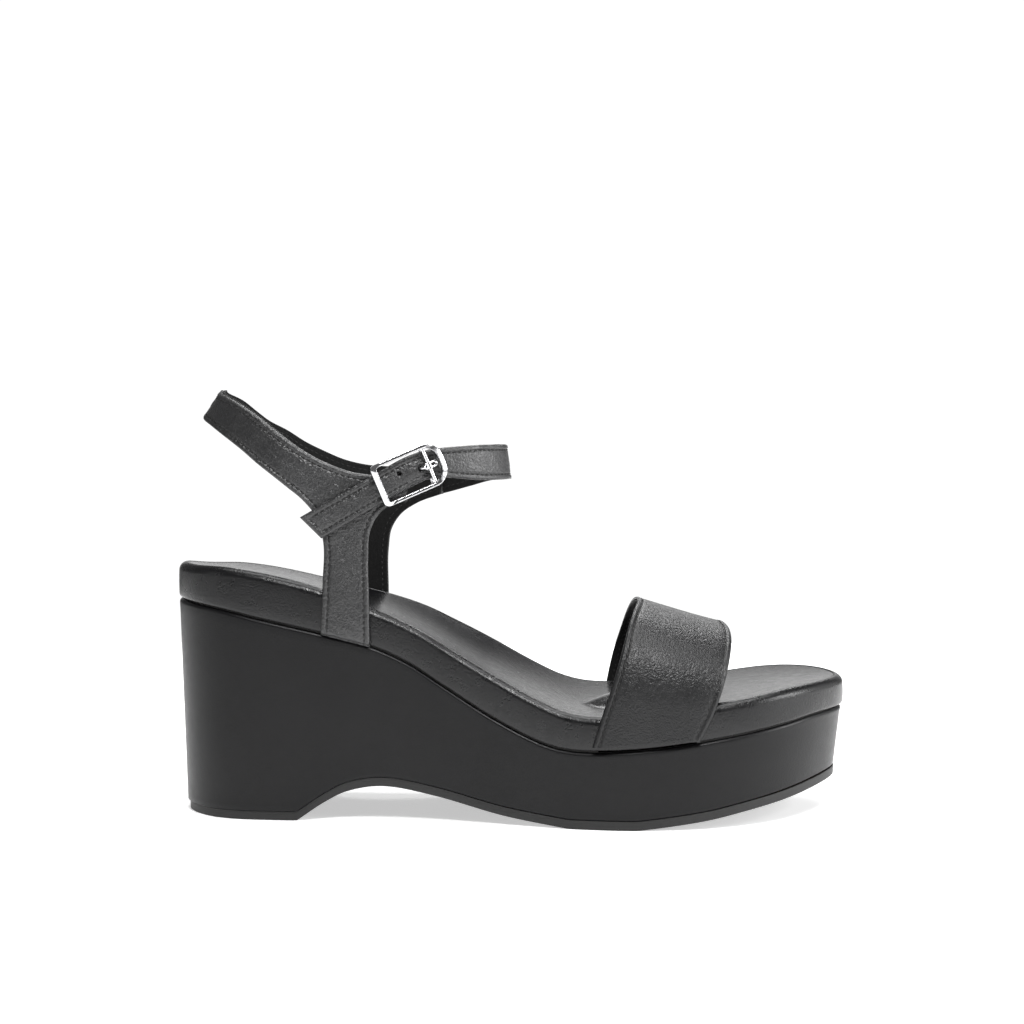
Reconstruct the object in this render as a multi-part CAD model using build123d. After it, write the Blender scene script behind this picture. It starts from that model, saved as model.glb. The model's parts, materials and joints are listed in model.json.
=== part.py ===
from build123d import *
import math
import os

# Right-foot platform wedge sandal, size 38, in millimetres.
# Frame: origin on the ground under the middle of the shoe, +X to the toe,
# +Y to the inner (medial) side of the foot, +Z up. The outlines below are drawn
# about the middle of the ankle, and every piece is moved by SIDE_SHIFT at the end.

# ---------------------------------------------------------------- driving sizes
SIDE_SHIFT = 2.3          # from the ankle's middle plane to the middle of the shoe
HALF_WIDTH = 70.0          # more than half the width of anything here
TALL = 110.0               # taller than any part of the sole

OUTSOLE = 3.4              # thickness of the rubber outsole
WEDGE_SKIN = 1.2           # leather wrapped round the wedge

GROOVE = 0.6               # open joint between the footbed and the wedge
BOARD = 1.8                # insole board
SHANK = 1.4                # steel shank thickness
SHANK_WIDTH = 12.0
BAND_SKIN = 1.3            # leather band round the footbed's edge
SOCK = 1.2                 # leather on top of the footbed
GAP = 0.1                  # between glued layers

LINING = 0.9               # upper leathers, measured outward from the ankle
QUARTER = 2.1
STRAP_IN = 2.5
STRAP_MID = 3.3
STRAP_OUT = 4.3
VAMP_SKIN = 1.8            # vamp, outer and lining together
VAMP_LINING = 0.8
MARGIN_SKIN = 1.1          # lasting margins, tucked in under the footbed

FRAME_LENGTH = 26.8        # buckle frame, along the strap
FRAME_WIDTH = 16.0         # buckle frame, across the strap
FRAME_ANGLE = 22.7         # slope of the buckle on the side of the ankle
FRAME_LOW = 0.45           # frame's underside above the strap
FRAME_HIGH = 3.1
RAIL = 1.6                 # long sides of the frame
LEFT_BAR = 2.0
BAR_AT = 7.3               # centre bar, from the frame's middle towards the toe
BAR_R = 0.75
LOW_BAR_R = 0.6
LOW_BAR_W = -3.5           # lower bar's axis below the strap's outer face
HOLE_R = 1.8               # prong hole in the strap
HOLE_BACK = 2.9            # its centre behind the centre bar

# ---------------------------------------------------------------- outlines
# Footbed's edge seen from above, from the heel round the outer side to the toe and back.
FOOTBED_PLAN = [
    (-126, 0), (-121.5, -14), (-109.2, -25.7), (-90, -30.5), (-60, -32), (-25, -33.5),
    (5, -39.5), (30, -45.5), (52, -47), (75, -44.7), (99, -35), (116.5, -18.5), (126.2, 2),
    (123.3, 19.5), (112.5, 31.8), (93, 39.2), (65, 42.5), (38, 40), (10, 33.5),
    (-20, 28.7), (-55, 30.2), (-90, 30.5), (-109.2, 25.7), (-121.5, 14)]

# Side view lines, as (x, z).
FOOTBED_TOP = [
    (-130, 97.5), (-118, 94), (-104, 92.4), (-88, 89.6), (-70, 85.2), (-50, 78.3), (-35, 71.5),
    (-20, 62.5), (-5, 53.8), (8, 46.9), (20, 42.2), (32, 41), (55, 43.6), (80, 46.4),
    (100, 49.6), (130, 52.4)]
GROOVE_LINE = [
    (-130, 80.9), (-108, 78), (-92, 74.5), (-70, 69.6), (-52, 65), (-38, 58.8),
    (-24, 49.8), (-8, 39.8), (8, 31.8), (18, 28.9), (30, 28.3), (50, 29.6), (75, 33),
    (100, 37), (113, 39), (130, 39.4)]
HEEL_FRONT = -79.0         # where the flat heel ends and the arch begins
BALL_BACK = 20.0           # the ground contact under the ball of the foot
BALL_FRONT = 45.0
ARCH_LINE = [(HEEL_FRONT, 0), (-69, 6.8), (-60, 11.2), (-47, 13), (-29, 9.9), (-4, 3.6),
             (BALL_BACK, 0)]
TOE_LINE = [(BALL_FRONT, 0), (57, 1.5), (71, 3.5), (84, 6), (97, 8.3), (118, 12), (130, 13.3)]

# How the wedge's walls stand, as (x, millimetres): their top edge inside the footbed's edge,
# their lean inward for each millimetre down, and the outsole's edge inside their foot.
WEDGE_INSET = [(-130, 0.1), (-60, 0.5), (40, 0.5), (130, 0.8)]
DRAFT = [(-130, 0.034), (-20, 0.03), (40, 0.008), (80, 0.03), (115, 0.1), (130, 0.12)]
OUTSOLE_INSET = [(-130, 0.9), (-40, 0.7), (20, 0.1), (60, 0.0), (130, 0.0)]

# Ankle the upper is lasted on: (z, x at the back, x at the front, half width, middle y).
ANKLE = [
    (58, -157, 36, 32.3, -0.8), (80, -150, 14, 32.6, -0.6), (105, -141, -2.4, 31.9, 0),
    (125, -129.3, -4.9, 30.7, 0), (145, -116.3, -7.3, 29.3, 0), (168, -101.3, -10.0, 27.8, 0)]

# Forefoot the vamp is lasted on: (x, crown z, outer half width, inner half width).
FOREFOOT = [
    (20, 88.0, 46.7, 39.3), (38, 82.6, 48.6, 42.3), (56, 77.0, 49.1, 44.4),
    (74, 71.7, 46.9, 44.2), (92, 67.4, 41.5, 40.9)]
FOREFOOT_SPRING = 41.0     # height where the forefoot's walls start to curve in
FOREFOOT_POWER = 2.6       # squareness of its section


# ---------------------------------------------------------------- helpers
def height(line, x):
    """Smooth height of a side view line at x."""
    spans = len(line) - 1
    i = 0
    while i < spans - 1 and line[i + 1][0] < x:
        i += 1

    def slope(k):
        low, high = max(k - 1, 0), min(k + 1, spans)
        return (line[high][1] - line[low][1]) / (line[high][0] - line[low][0])

    (x0, z0), (x1, z1) = line[i], line[i + 1]
    span = x1 - x0
    t = (x - x0) / span
    ease = t * t * (3 - 2 * t)
    bend = slope(i) * t * (1 - t) ** 2 - slope(i + 1) * t * t * (1 - t)
    return z0 + (z1 - z0) * ease + span * bend


def smooth(points, start, end):
    """Spline through points that leaves and arrives along the given directions."""
    return Spline(*points, tangents=[start, end])


def across(edges, y_low=-HALF_WIDTH, y_high=HALF_WIDTH):
    """Solid from a closed side view outline, from y_low to y_high."""
    face = Face(Wire(edges))
    return extrude(Plane.XZ.offset(-y_high) * face, y_high - y_low, dir=(0, -1, 0))


def band_between(low, high):
    """Solid between two side view lines, across the whole width."""
    bottom, top = Spline(*low), Spline(*high)
    back = Line(low[0], high[0])
    front = Line(low[-1], high[-1])
    return across([bottom, front, top, back])


def raised(line, by):
    return [(x, z + by) for x, z in line]


EDGE = Spline(*[(x, y) for x, y in FOOTBED_PLAN], periodic=True)
EDGE_SAMPLES = 56


def plan_wire(inset, z=0.0):
    """Footbed's edge moved inward by inset, a number or a function of x."""
    points = []
    for i in range(EDGE_SAMPLES):
        at = EDGE @ (i / EDGE_SAMPLES)
        along = EDGE % (i / EDGE_SAMPLES)
        by = inset(at.X) if callable(inset) else inset
        points.append((at.X - along.Y * by, at.Y + along.X * by, z))
    return Wire([Spline(*points, periodic=True)])


def plan_prism(inset):
    return extrude(Face(plan_wire(inset, -1.0)), TALL, dir=(0, 0, 1))


def wedge_inset(x, z):
    """Distance of the wedge's wall inside the footbed's edge, at height z."""
    return height(WEDGE_INSET, x) + height(DRAFT, x) * (height(GROOVE_LINE, x) - z)


def ground(x):
    """Height of the sole's underside at x."""
    if x > BALL_FRONT:
        return height(TOE_LINE, x)
    if HEEL_FRONT < x < BALL_BACK:
        return height(ARCH_LINE, x)
    return 0.0


def wedge_prism(extra):
    """Wedge's leaning outer wall, moved in by extra."""
    def wire(z):
        return plan_wire(lambda x: wedge_inset(x, z) + extra, z)
    return Solid.make_loft([wire(-1.0), wire(95.0)], ruled=True)


# ---------------------------------------------------------------- footbed's shape
ARCH_RISE, ARCH_X, ARCH_REACH = 6.8, -6.0, 66.0    # medial arch above the outer edge
DISH = 1.6                                 # hollow of the footbed's top
HEEL_TILT = 1.0                            # the heel's outer rim stands this much higher
PAD_X, PAD_Y, PAD_RX, PAD_RY, PAD_RISE = 47.0, -6.0, 20.0, 15.0, 5.0


def side_reach(x):
    """Rough half widths of the footbed at x, outer then inner."""
    outer = height([(-135, 24), (-100, 28), (-60, 32), (-25, 33.5), (5, 39.5), (30, 45.5),
                    (60, 47), (85, 42), (110, 30), (135, 22)], x)
    inner = height([(-135, 24), (-100, 28), (-60, 30.5), (-20, 28.7), (10, 33.5), (38, 40),
                    (65, 42.5), (92, 39), (110, 33), (135, 26)], x)
    return outer, inner


def footbed_height(x, y, padded):
    """Height of the footbed's top, with or without its two pads."""
    outer, inner = side_reach(x)
    across_t = (y + outer) / (outer + inner)
    z = height(FOOTBED_TOP, x)
    z -= DISH * max(0.0, 1 - (2 * across_t - 1) ** 2)
    heel = max(0.0, min(1.0, (-50 - x) / 30))
    z += HEEL_TILT * (1 - 2 * across_t) * heel * heel * (3 - 2 * heel)
    if padded:
        reach = max(-1.0, min(1.0, (x - ARCH_X) / ARCH_REACH))
        rise = max(0.0, min(1.0, across_t)) ** 2
        z += ARCH_RISE * math.cos(reach * math.pi / 2) ** 2 * rise
        away = ((x - PAD_X) / PAD_RX) ** 2 + ((y - PAD_Y) / PAD_RY) ** 2
        z += PAD_RISE * max(0.0, 1 - away)
    return z


def below_top(drop, padded=True):
    """Everything below the footbed's top, lowered by drop."""
    wires = []
    stations, columns, end, side = 20, 9, 134.0, 62.0
    for i in range(stations):
        x = -end + 2 * end * i / (stations - 1)
        row = []
        for j in range(columns):
            y = -side + 2 * side * j / (columns - 1)
            row.append((x, y, footbed_height(x, y, padded) - drop))
        low_left, low_right = (x, -side, -5.0), (x, side, -5.0)
        wires.append(Wire([Spline(*row), Line(row[-1], low_right), Line(low_right, low_left),
                           Line(low_left, row[0])]))
    return Solid.make_loft(wires)


# ---------------------------------------------------------------- sole
def ground_line(lift):
    """Underside of the sole, raised by lift, as joined edges from heel to toe."""
    heel = Line((-130, lift), (HEEL_FRONT, lift))
    arch = smooth(raised(ARCH_LINE, lift), (1.0, 0.75), (1.0, 0.0))
    ball = Line((BALL_BACK, lift), (BALL_FRONT, lift))
    toe = smooth(raised(TOE_LINE, lift), (1.0, 0.0), (1.0, 0.1))
    return [heel, arch, ball, toe]


def above_ground(lift):
    """Everything above the sole's underside raised by lift."""
    corner_low = (-130, lift)
    corner_high = (130, TOE_LINE[-1][1] + lift)
    walls = [Line(corner_high, (130, TALL)), Line((130, TALL), (-130, TALL)),
             Line((-130, TALL), corner_low)]
    return across(ground_line(lift) + walls)


def make_outsole():
    def inset(x):
        return wedge_inset(x, ground(x) + OUTSOLE) + height(OUTSOLE_INSET, x)
    slab = above_ground(0) - above_ground(OUTSOLE)
    return slab & plan_prism(inset)


def make_wedge_core():
    body = wedge_prism(WEDGE_SKIN + GAP) & above_ground(OUTSOLE + GAP)
    body = body & below_line(GROOVE_LINE, -GROOVE)
    channel = band_between(raised(GROOVE_LINE, -GROOVE - SHANK - GAP), raised(GROOVE_LINE, 3))
    return body - (channel & shank_plan(GAP))


def make_wedge_cover():
    ring = wedge_prism(0) - wedge_prism(WEDGE_SKIN)
    return ring & above_ground(OUTSOLE + GAP) & below_line(GROOVE_LINE, -GROOVE / 2)


def below_line(line, lift):
    """Everything below a side view line raised by lift."""
    floor = [(x, -5.0) for x, z in line]
    return across([Line(floor[0], floor[-1]), Line(floor[-1], raised(line, lift)[-1]),
                   Spline(*raised(line, lift)), Line(raised(line, lift)[0], floor[0])])


SHANK_BACK, SHANK_FRONT = -95.0, 12.0
RIVET_X = (-84.0, 2.0)
RIVET_R, RIVET_HEAD_R, RIVET_HEAD = 1.6, 3.2, 0.7


def shank_plan(margin):
    length = SHANK_FRONT - SHANK_BACK + 2 * margin
    middle = (SHANK_FRONT + SHANK_BACK) / 2
    plan = RectangleRounded(length, SHANK_WIDTH + 2 * margin, SHANK_WIDTH / 2 - 0.1)
    return extrude(Pos(middle, 0, 0) * plan, TALL)


def make_shank():
    strip = band_between(raised(GROOVE_LINE, -GROOVE - SHANK), raised(GROOVE_LINE, -GROOVE))
    return (strip & shank_plan(0)) - rivet_set(0.02)


def rivet_set(margin):
    """The two rivets that hold the shank to the board, grown by margin."""
    rivets = []
    for x in RIVET_X:
        line = height(GROOVE_LINE, x)
        step = 4.0
        tilt = math.degrees(math.atan2(height(GROOVE_LINE, x + step)
                                       - height(GROOVE_LINE, x - step), 2 * step))
        low = -GROOVE - SHANK + GAP
        high = BOARD + GAP
        shaft = Cylinder(RIVET_R + margin, high - low + 2 * margin)
        head = Cylinder(RIVET_HEAD_R + margin, RIVET_HEAD + margin)
        rivet = Pos(0, 0, (low + high) / 2) * shaft + Pos(0, 0, high + RIVET_HEAD / 2) * head
        rivets.append(Pos(x, 0, line) * Rot(0, -tilt, 0) * rivet)
    return rivets[0] + rivets[1]


def make_insole_board():
    board = band_between(raised(GROOVE_LINE, -GROOVE + GAP), raised(GROOVE_LINE, BOARD))
    return (board & plan_prism(BAND_SKIN + 0.3)) - rivet_set(0.02) - margins(GAP)


# ---------------------------------------------------------------- footbed
def pad_prisms():
    """Plan shapes of the two pads: under the arch and behind the toes."""
    arch = Face(Wire([Spline((-50, 12), (-30, 6), (-4, 8), (14, 20), (8, 27), (-20, 24.5),
                             (-44, 24), periodic=True)]))
    ball = Pos(PAD_X, PAD_Y) * Ellipse(PAD_RX - 2, PAD_RY - 2)
    return extrude(arch, TALL), extrude(ball, TALL)


def make_footbed_foam():
    foam = below_top(SOCK + GAP) & plan_prism(BAND_SKIN + GAP)
    foam = foam - below_line(GROOVE_LINE, BOARD + GAP) - rivet_set(0.3)
    for prism in pad_prisms():
        foam = foam - (prism - below_top(PAD_SINK, padded=False))
    return foam - margins(GAP)


PAD_SINK = 4.0             # pads sit this far down in the foam


def make_pad(prism):
    return (prism & below_top(SOCK + GAP)) - below_top(PAD_SINK - GAP, padded=False)


def make_sock_cover():
    block = plan_prism(BAND_SKIN + GAP) & below_top(0)
    return block - (plan_prism(0) & below_top(SOCK))


def make_footbed_band():
    block = (plan_prism(0) & below_top(0)) - below_line(GROOVE_LINE, GROOVE / 2)
    return block - plan_prism(BAND_SKIN) - margins(GAP)


# ---------------------------------------------------------------- lasting margins
def under_footbed(x_low, x_high, y_low, y_high, grow):
    """Slab in the joint under the footbed, between two x and two y."""
    slab = band_between(raised(GROOVE_LINE, -GROOVE / 2 + GAP - grow),
                        raised(GROOVE_LINE, -GROOVE / 2 + GAP + MARGIN_SKIN + grow))
    plan = Pos((x_low + x_high) / 2, (y_low + y_high) / 2) * Rectangle(
        x_high - x_low + 2 * grow, y_high - y_low + 2 * grow)
    return slab & extrude(plan, TALL)


# Plan boxes of the margins; each runs out past its leather wall and is trimmed to it.
LEG_MARGINS = [(-68.0, -52.2, -40.0, -27.0), (-65.0, -49.6, 25.0, 40.0)]
VAMP_MARGINS = [(31.0, 66.0, -55.0, -40.5), (38.0, 72.0, 35.5, 50.0)]
WALL_BITE = 0.5            # a margin starts this far inside its leather's outer face


def margins(grow):
    """All four lasting margins, grown, to cut their places out of the footbed."""
    slabs = [under_footbed(*at, grow) for at in LEG_MARGINS + VAMP_MARGINS]
    return slabs[0] + slabs[1] + slabs[2] + slabs[3]


# ---------------------------------------------------------------- vamp
def forefoot(offset):
    """Solid forefoot, grown outward by offset from the vamp's outer face."""
    wires = []
    for x, crown, outer, inner in FOREFOOT:
        points = []
        steps = 16
        for i in range(steps + 1):
            angle = math.pi * i / steps
            side, up = -math.cos(angle), math.sin(angle)
            reach = (outer if side < 0 else inner) + offset
            y = math.copysign(abs(side) ** (2 / FOREFOOT_POWER), side) * reach
            rise = (crown + offset - FOREFOOT_SPRING) * up ** (2 / FOREFOOT_POWER)
            points.append((x, y, FOREFOOT_SPRING + rise))
        arch = Spline(*points, tangents=[(0, 0, 1), (0, 0, -1)])
        low_left, low_right = (x, points[0][1], 15.0), (x, points[-1][1], 15.0)
        wires.append(Wire([Line(low_left, points[0]), arch, Line(points[-1], low_right),
                           Line(low_right, low_left)]))
    return Solid.make_loft(wires)


def vamp_outline(y_low, y_high):
    """Vamp's two open edges in side view; the crown's part is the same on both sides."""
    rear_crown = Line((45.8, 77.0), (53.8, 91.0))
    front_crown = Line((80.4, 67.0), (86.0, 83.0))
    if y_high <= 0:
        rear = smooth([(26.2, 22), (28.6, 30), (36.2, 54), (45.8, 77)], (0.3, 1), (0.5, 1))
        front = smooth([(80.4, 67), (77.3, 57), (73.8, 47), (66.5, 31.5), (61.8, 22)],
                       (-0.25, -1), (-0.5, -1))
    else:
        rear = smooth([(34.4, 22), (36.8, 32), (41.5, 56), (45.8, 77)], (0.15, 1), (0.5, 1))
        front = smooth([(80.4, 67), (79.0, 57), (77.8, 47), (74.0, 22)], (-0.2, -1), (-0.2, -1))
    top = Line((53.8, 91), (86, 83))
    bottom = Line(front @ 1, rear @ 0)
    return across([rear, rear_crown, top, front_crown, front, bottom], y_low, y_high)


def vamp_zone():
    zone = vamp_outline(-HALF_WIDTH, 0) + vamp_outline(0, HALF_WIDTH)
    return zone - below_line(GROOVE_LINE, -GROOVE / 2 + GAP)


def make_vamp_outer():
    wall = forefoot(0) - forefoot(VAMP_LINING + GAP - VAMP_SKIN)
    wall = wall & vamp_zone()
    for at in VAMP_MARGINS:
        wall = wall + (under_footbed(*at, 0) & forefoot(-WALL_BITE))
    return wall


def make_vamp_lining():
    lining = forefoot(VAMP_LINING - VAMP_SKIN) - forefoot(-VAMP_SKIN)
    return (lining & vamp_zone()) - margins(GAP) - below_line(GROOVE_LINE, 1.0)


# ---------------------------------------------------------------- ankle straps
def ankle(offset):
    """Solid ankle, grown outward by offset."""
    wires = []
    for z, back, front, half_width, middle in ANKLE:
        long_half = (front - back) / 2 + offset * 1.08
        shape = Ellipse(long_half, half_width + offset)
        wires.append((Pos((front + back) / 2, middle, z) * shape).face().outer_wire())
    return Solid.make_loft(wires)


def shell(inner, outer):
    return ankle(outer) - ankle(inner)


# Quarter's edges in side view. The heel's part is shared by both sides of the foot.
HEEL_TOP = [(-120, 166.6), (-110, 158.3), (-105, 155)]
HEEL_LOW = [(-92.7, 130.8), (-99.3, 136.1), (-106.3, 141.0), (-112.2, 144.9), (-117.2, 149.1),
            (-130, 160.1)]


def quarter_zone():
    heel_top = smooth(HEEL_TOP, (1, -0.85), (1, -0.6))
    heel_low = smooth(HEEL_LOW, (-1, 0.74), (-1, 0.86))
    close = Line(HEEL_LOW[-1], HEEL_TOP[0])
    outer_top = smooth([(-105, 155), (-99, 151.9), (-93.2, 148.2), (-85.4, 142.5),
                        (-77.4, 136.8), (-66.8, 131.2), (-59, 128.4), (-48, 126.8),
                        (-38, 126.6)], (1, -0.6), (1, 0.0))
    outer_front = smooth([(-38, 117.4), (-44, 116.0), (-48.5, 112.2), (-51.2, 106.5),
                          (-51.9, 98), (-51.4, 62)], (-1, -0.1), (0, -1))
    outer_rear = smooth([(-69.6, 62), (-68.5, 85), (-68.5, 104), (-70.8, 111.6),
                         (-76.1, 118.1), (-92.7, 130.8)], (0.1, 1), (-1, 0.74))
    outer = across([heel_top, outer_top, Line((-38, 126.6), (-38, 117.4)), outer_front,
                    Line((-51.4, 62), (-69.6, 62)), outer_rear, heel_low, close],
                   -HALF_WIDTH, 0)
    inner_top = smooth([(-105, 155), (-100, 150.0), (-96.3, 147.1), (-89, 143.2),
                        (-81.5, 138.5), (-74, 134.9), (-66.3, 131.7), (-58.5, 129.8),
                        (-50, 129), (-38, 129.6), (-27, 131.4)], (1, -0.75), (1, 0.2))
    inner_front = smooth([(-27, 118.2), (-37.2, 114.4), (-43.4, 110.2), (-47.3, 104.3),
                          (-48.5, 97), (-48.7, 62)], (-1, -0.2), (0, -1))
    inner_rear = smooth([(-65.8, 62), (-65.2, 85), (-65.6, 103), (-69, 111.2),
                         (-76.1, 118.1), (-92.7, 130.8)], (0.1, 1), (-1, 0.74))
    inner = across([heel_top, inner_top, Line((-27, 131.4), (-27, 118.2)), inner_front,
                    Line((-48.7, 62), (-65.8, 62)), inner_rear, heel_low, close],
                   0, HALF_WIDTH)
    return (outer + inner) - below_line(GROOVE_LINE, -GROOVE / 2 + GAP)


def make_quarter_outer():
    piece = shell(LINING + GAP, QUARTER) & quarter_zone()
    for at in LEG_MARGINS:
        piece = piece + (under_footbed(*at, 0) & ankle(QUARTER - WALL_BITE))
    return piece - chape_pocket()


def make_quarter_lining():
    piece = shell(0, LINING) & quarter_zone()
    return piece - margins(GAP) - below_line(GROOVE_LINE, 1.0) - chape_pocket()


STRAP_END_TOP, STRAP_END_LOW = (-51.7, 126.0), (-46.6, 116.9)


def strap_zone():
    """Ankle strap in side view, from the inner branch round the front to the buckle."""
    top_front, low_front = (-4.0, 137.9), (-4.0, 124.8)
    front = [Line(top_front, (12, 138.4)), Line((12, 138.4), (12, 124.8)),
             Line((12, 124.8), low_front)]
    outer_low = smooth([low_front, (-12, 124.9), (-20, 125.6), (-26.7, 126.0), (-30.5, 125.3),
                        (-34.4, 123.6), (-40.9, 120.1), STRAP_END_LOW], (-1, 0), (-1, -0.57))
    outer_top = smooth([STRAP_END_TOP, (-45.5, 129.5), (-38.6, 133.2), (-32, 135.6),
                        (-25.5, 136.7), (-17, 137.4), top_front], (1, 0.57), (1, 0))
    outer = across(front + [outer_low, Line(STRAP_END_LOW, STRAP_END_TOP), outer_top],
                   -HALF_WIDTH, 0)
    inner_low = smooth([low_front, (-15, 121.6), (-26, 118.5), (-38, 115.6)],
                       (-1, -0.1), (-1, -0.25))
    inner_top = smooth([(-38, 128.6), (-27, 131.5), (-16, 135.0), top_front],
                       (1, 0.25), (1, 0.1))
    inner = across(front + [inner_low, Line((-38, 115.6), (-38, 128.6)), inner_top],
                   0, HALF_WIDTH)
    return outer + inner


def prong_hole():
    """Hole in the strap just behind the centre bar, for the prong's tip."""
    return BUCKLE_PLANE * Pos(BAR_AT - HOLE_BACK, 0, 0) * Cylinder(HOLE_R, 9)


def make_ankle_strap(inner, outer):
    return (shell(inner, outer) & strap_zone()) - prong_hole()


def tail_zone():
    """Free end of the strap: it tapers to a slanted, pointed end."""
    corners = [(-52.0, 125.85), (-76.6, 111.8), (-68.7, 104.2), (-46.9, 116.75)]
    outline = FilletPolyline(*corners, radius=0.9, close=True)
    return across(outline.edges(), -HALF_WIDTH, 0)


def make_strap_tail(inner, outer):
    return shell(inner, outer) & tail_zone()


# ---------------------------------------------------------------- buckle
def outer_side_y(x, z, offset):
    """y of the ankle's outer side, grown by offset."""
    index = 0
    while index < len(ANKLE) - 2 and ANKLE[index + 1][0] < z:
        index += 1
    low, high = ANKLE[index], ANKLE[index + 1]
    share = (z - low[0]) / (high[0] - low[0])
    back, front, half_width, middle = [a + (b - a) * share for a, b in zip(low[1:], high[1:])]
    along = (x - (front + back) / 2) / ((front - back) / 2 + offset * 1.08)
    return middle - (half_width + offset) * math.sqrt(1 - along ** 2)


BUCKLE_X, BUCKLE_Z = -37.0, 127.6


def buckle_plane():
    """x along the strap towards the toe, z out of the ankle."""
    step = 6.0

    def at(x, z):
        return Vector(x, outer_side_y(x, z, STRAP_OUT), z)
    along = at(BUCKLE_X + step, BUCKLE_Z) - at(BUCKLE_X - step, BUCKLE_Z)
    up = at(BUCKLE_X, BUCKLE_Z + step) - at(BUCKLE_X, BUCKLE_Z - step)
    slope = math.radians(FRAME_ANGLE)
    x_dir = along.normalized() * math.cos(slope) + up.normalized() * math.sin(slope)
    return Plane(origin=at(BUCKLE_X, BUCKLE_Z), x_dir=x_dir, z_dir=along.cross(up))


BUCKLE_PLANE = buckle_plane()
HALF_LENGTH, HALF_ACROSS = FRAME_LENGTH / 2, FRAME_WIDTH / 2
RIGHT_BAR = 2.1
BULGE = 1.6                # how far the toe side of the frame bows out
POST_LENGTH = 2.0          # posts and bars, along the strap


def frame_outline(margin):
    """Frame's outline: square at the back, bowed with wide corners at the front."""
    left = -HALF_LENGTH + margin * LEFT_BAR
    right = HALF_LENGTH - BULGE - margin * RIGHT_BAR
    side = HALF_ACROSS - margin * RAIL
    corner_back = 2.0 - 1.2 * margin
    corner_front = 4.4 - 1.6 * margin
    start = (left + corner_back, side)
    top_end = (right - corner_front, side)
    low_end = (right - corner_front, -side)
    bow = smooth([top_end, (right + BULGE * 0.2, side * 0.62), (right + BULGE, 0),
                  (right + BULGE * 0.2, -side * 0.62), low_end], (1, 0), (-1, 0))
    low_start = (left + corner_back, -side)
    arcs = [RadiusArc(low_start, (left, -side + corner_back), corner_back),
            RadiusArc((left, side - corner_back), start, corner_back)]
    lines = [Line(low_end, low_start), Line((left, -side + corner_back),
                                            (left, side - corner_back)), Line(start, top_end)]
    return Wire([lines[2], bow, lines[0], arcs[0], lines[1], arcs[1]])


def make_buckle_frame():
    ring = Face(frame_outline(0)) - Face(frame_outline(1))
    frame = Pos(0, 0, FRAME_LOW) * extrude(ring, FRAME_HIGH - FRAME_LOW, dir=(0, 0, 1))
    bar_w = (FRAME_LOW + FRAME_HIGH) / 2
    bar_length = FRAME_WIDTH - RAIL
    bar = Pos(BAR_AT, 0, bar_w) * Rot(90, 0, 0) * Cylinder(BAR_R, bar_length)
    low_bar = Pos(BAR_AT, 0, LOW_BAR_W) * Rot(90, 0, 0) * Cylinder(LOW_BAR_R, bar_length)
    frame = frame + bar + low_bar
    post_low, post_high = LOW_BAR_W - LOW_BAR_R, (FRAME_LOW + FRAME_HIGH) / 2
    for side in (-1, 1):
        middle = side * (HALF_ACROSS - RAIL / 2)
        post = Box(POST_LENGTH, RAIL * 0.9, post_high - post_low)
        frame = frame + Pos(BAR_AT, middle, (post_low + post_high) / 2) * post
    return BUCKLE_PLANE * frame


PRONG_BORE = 0.05          # running clearance round each bar


def make_buckle_prong():
    """Short prong: a barrel and an eye on the centre bar, and a tip down into the strap."""
    bar_w = (FRAME_LOW + FRAME_HIGH) / 2
    barrel_r = BAR_R + PRONG_BORE + 0.35
    barrel = Rot(90, 0, 0) * Cylinder(barrel_r, 2.4)
    eye = Pos(0.45, 0, 0.1) * extrude(SlotOverall(5.6, 2.5), barrel_r - 0.1)
    tip_side = [(-1.2, 1.1), (-2.6, 0.8), (-3.6, -0.6), (-3.6, -2.6), (-3.1, -3.0),
                (-2.4, -2.6), (-2.4, -1.0), (-1.0, -0.2)]
    tip = Plane.XZ * Face(Wire(Polyline(*tip_side, close=True).edges()))
    prong = barrel + eye + extrude(tip, 0.7, both=True)
    prong = prong - Rot(90, 0, 0) * Cylinder(BAR_R + PRONG_BORE, 6)
    return BUCKLE_PLANE * Pos(BAR_AT, 0, bar_w) * prong


CHAPE_PLY, CHAPE_WIDTH, CHAPE_BACK = 0.55, 9.0, 13.0


def chape_slab(grow):
    """Flat end of the chape, sewn between the quarter and its lining."""
    thick = 2 * CHAPE_PLY + 2 * grow
    length = CHAPE_BACK + grow
    slab = Box(length, CHAPE_WIDTH + 2 * grow, thick)
    return Pos(BAR_AT - 0.9 - length / 2, 0, LOW_BAR_W) * slab


def chape_pocket():
    return BUCKLE_PLANE * (chape_slab(GAP) + Pos(BAR_AT, 0, LOW_BAR_W) * Rot(90, 0, 0)
                           * Cylinder(LOW_BAR_R + CHAPE_PLY + 0.5, CHAPE_WIDTH + 6))


def make_buckle_chape():
    """Leather loop round the buckle's lower bar."""
    bore = LOW_BAR_R + PRONG_BORE
    loop = Rot(90, 0, 0) * Cylinder(bore + CHAPE_PLY, CHAPE_WIDTH)
    loop = Pos(BAR_AT, 0, LOW_BAR_W) * loop + chape_slab(0)
    hole = Pos(BAR_AT, 0, LOW_BAR_W) * Rot(90, 0, 0) * Cylinder(bore, CHAPE_WIDTH + 2)
    return BUCKLE_PLANE * (loop - hole)


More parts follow.
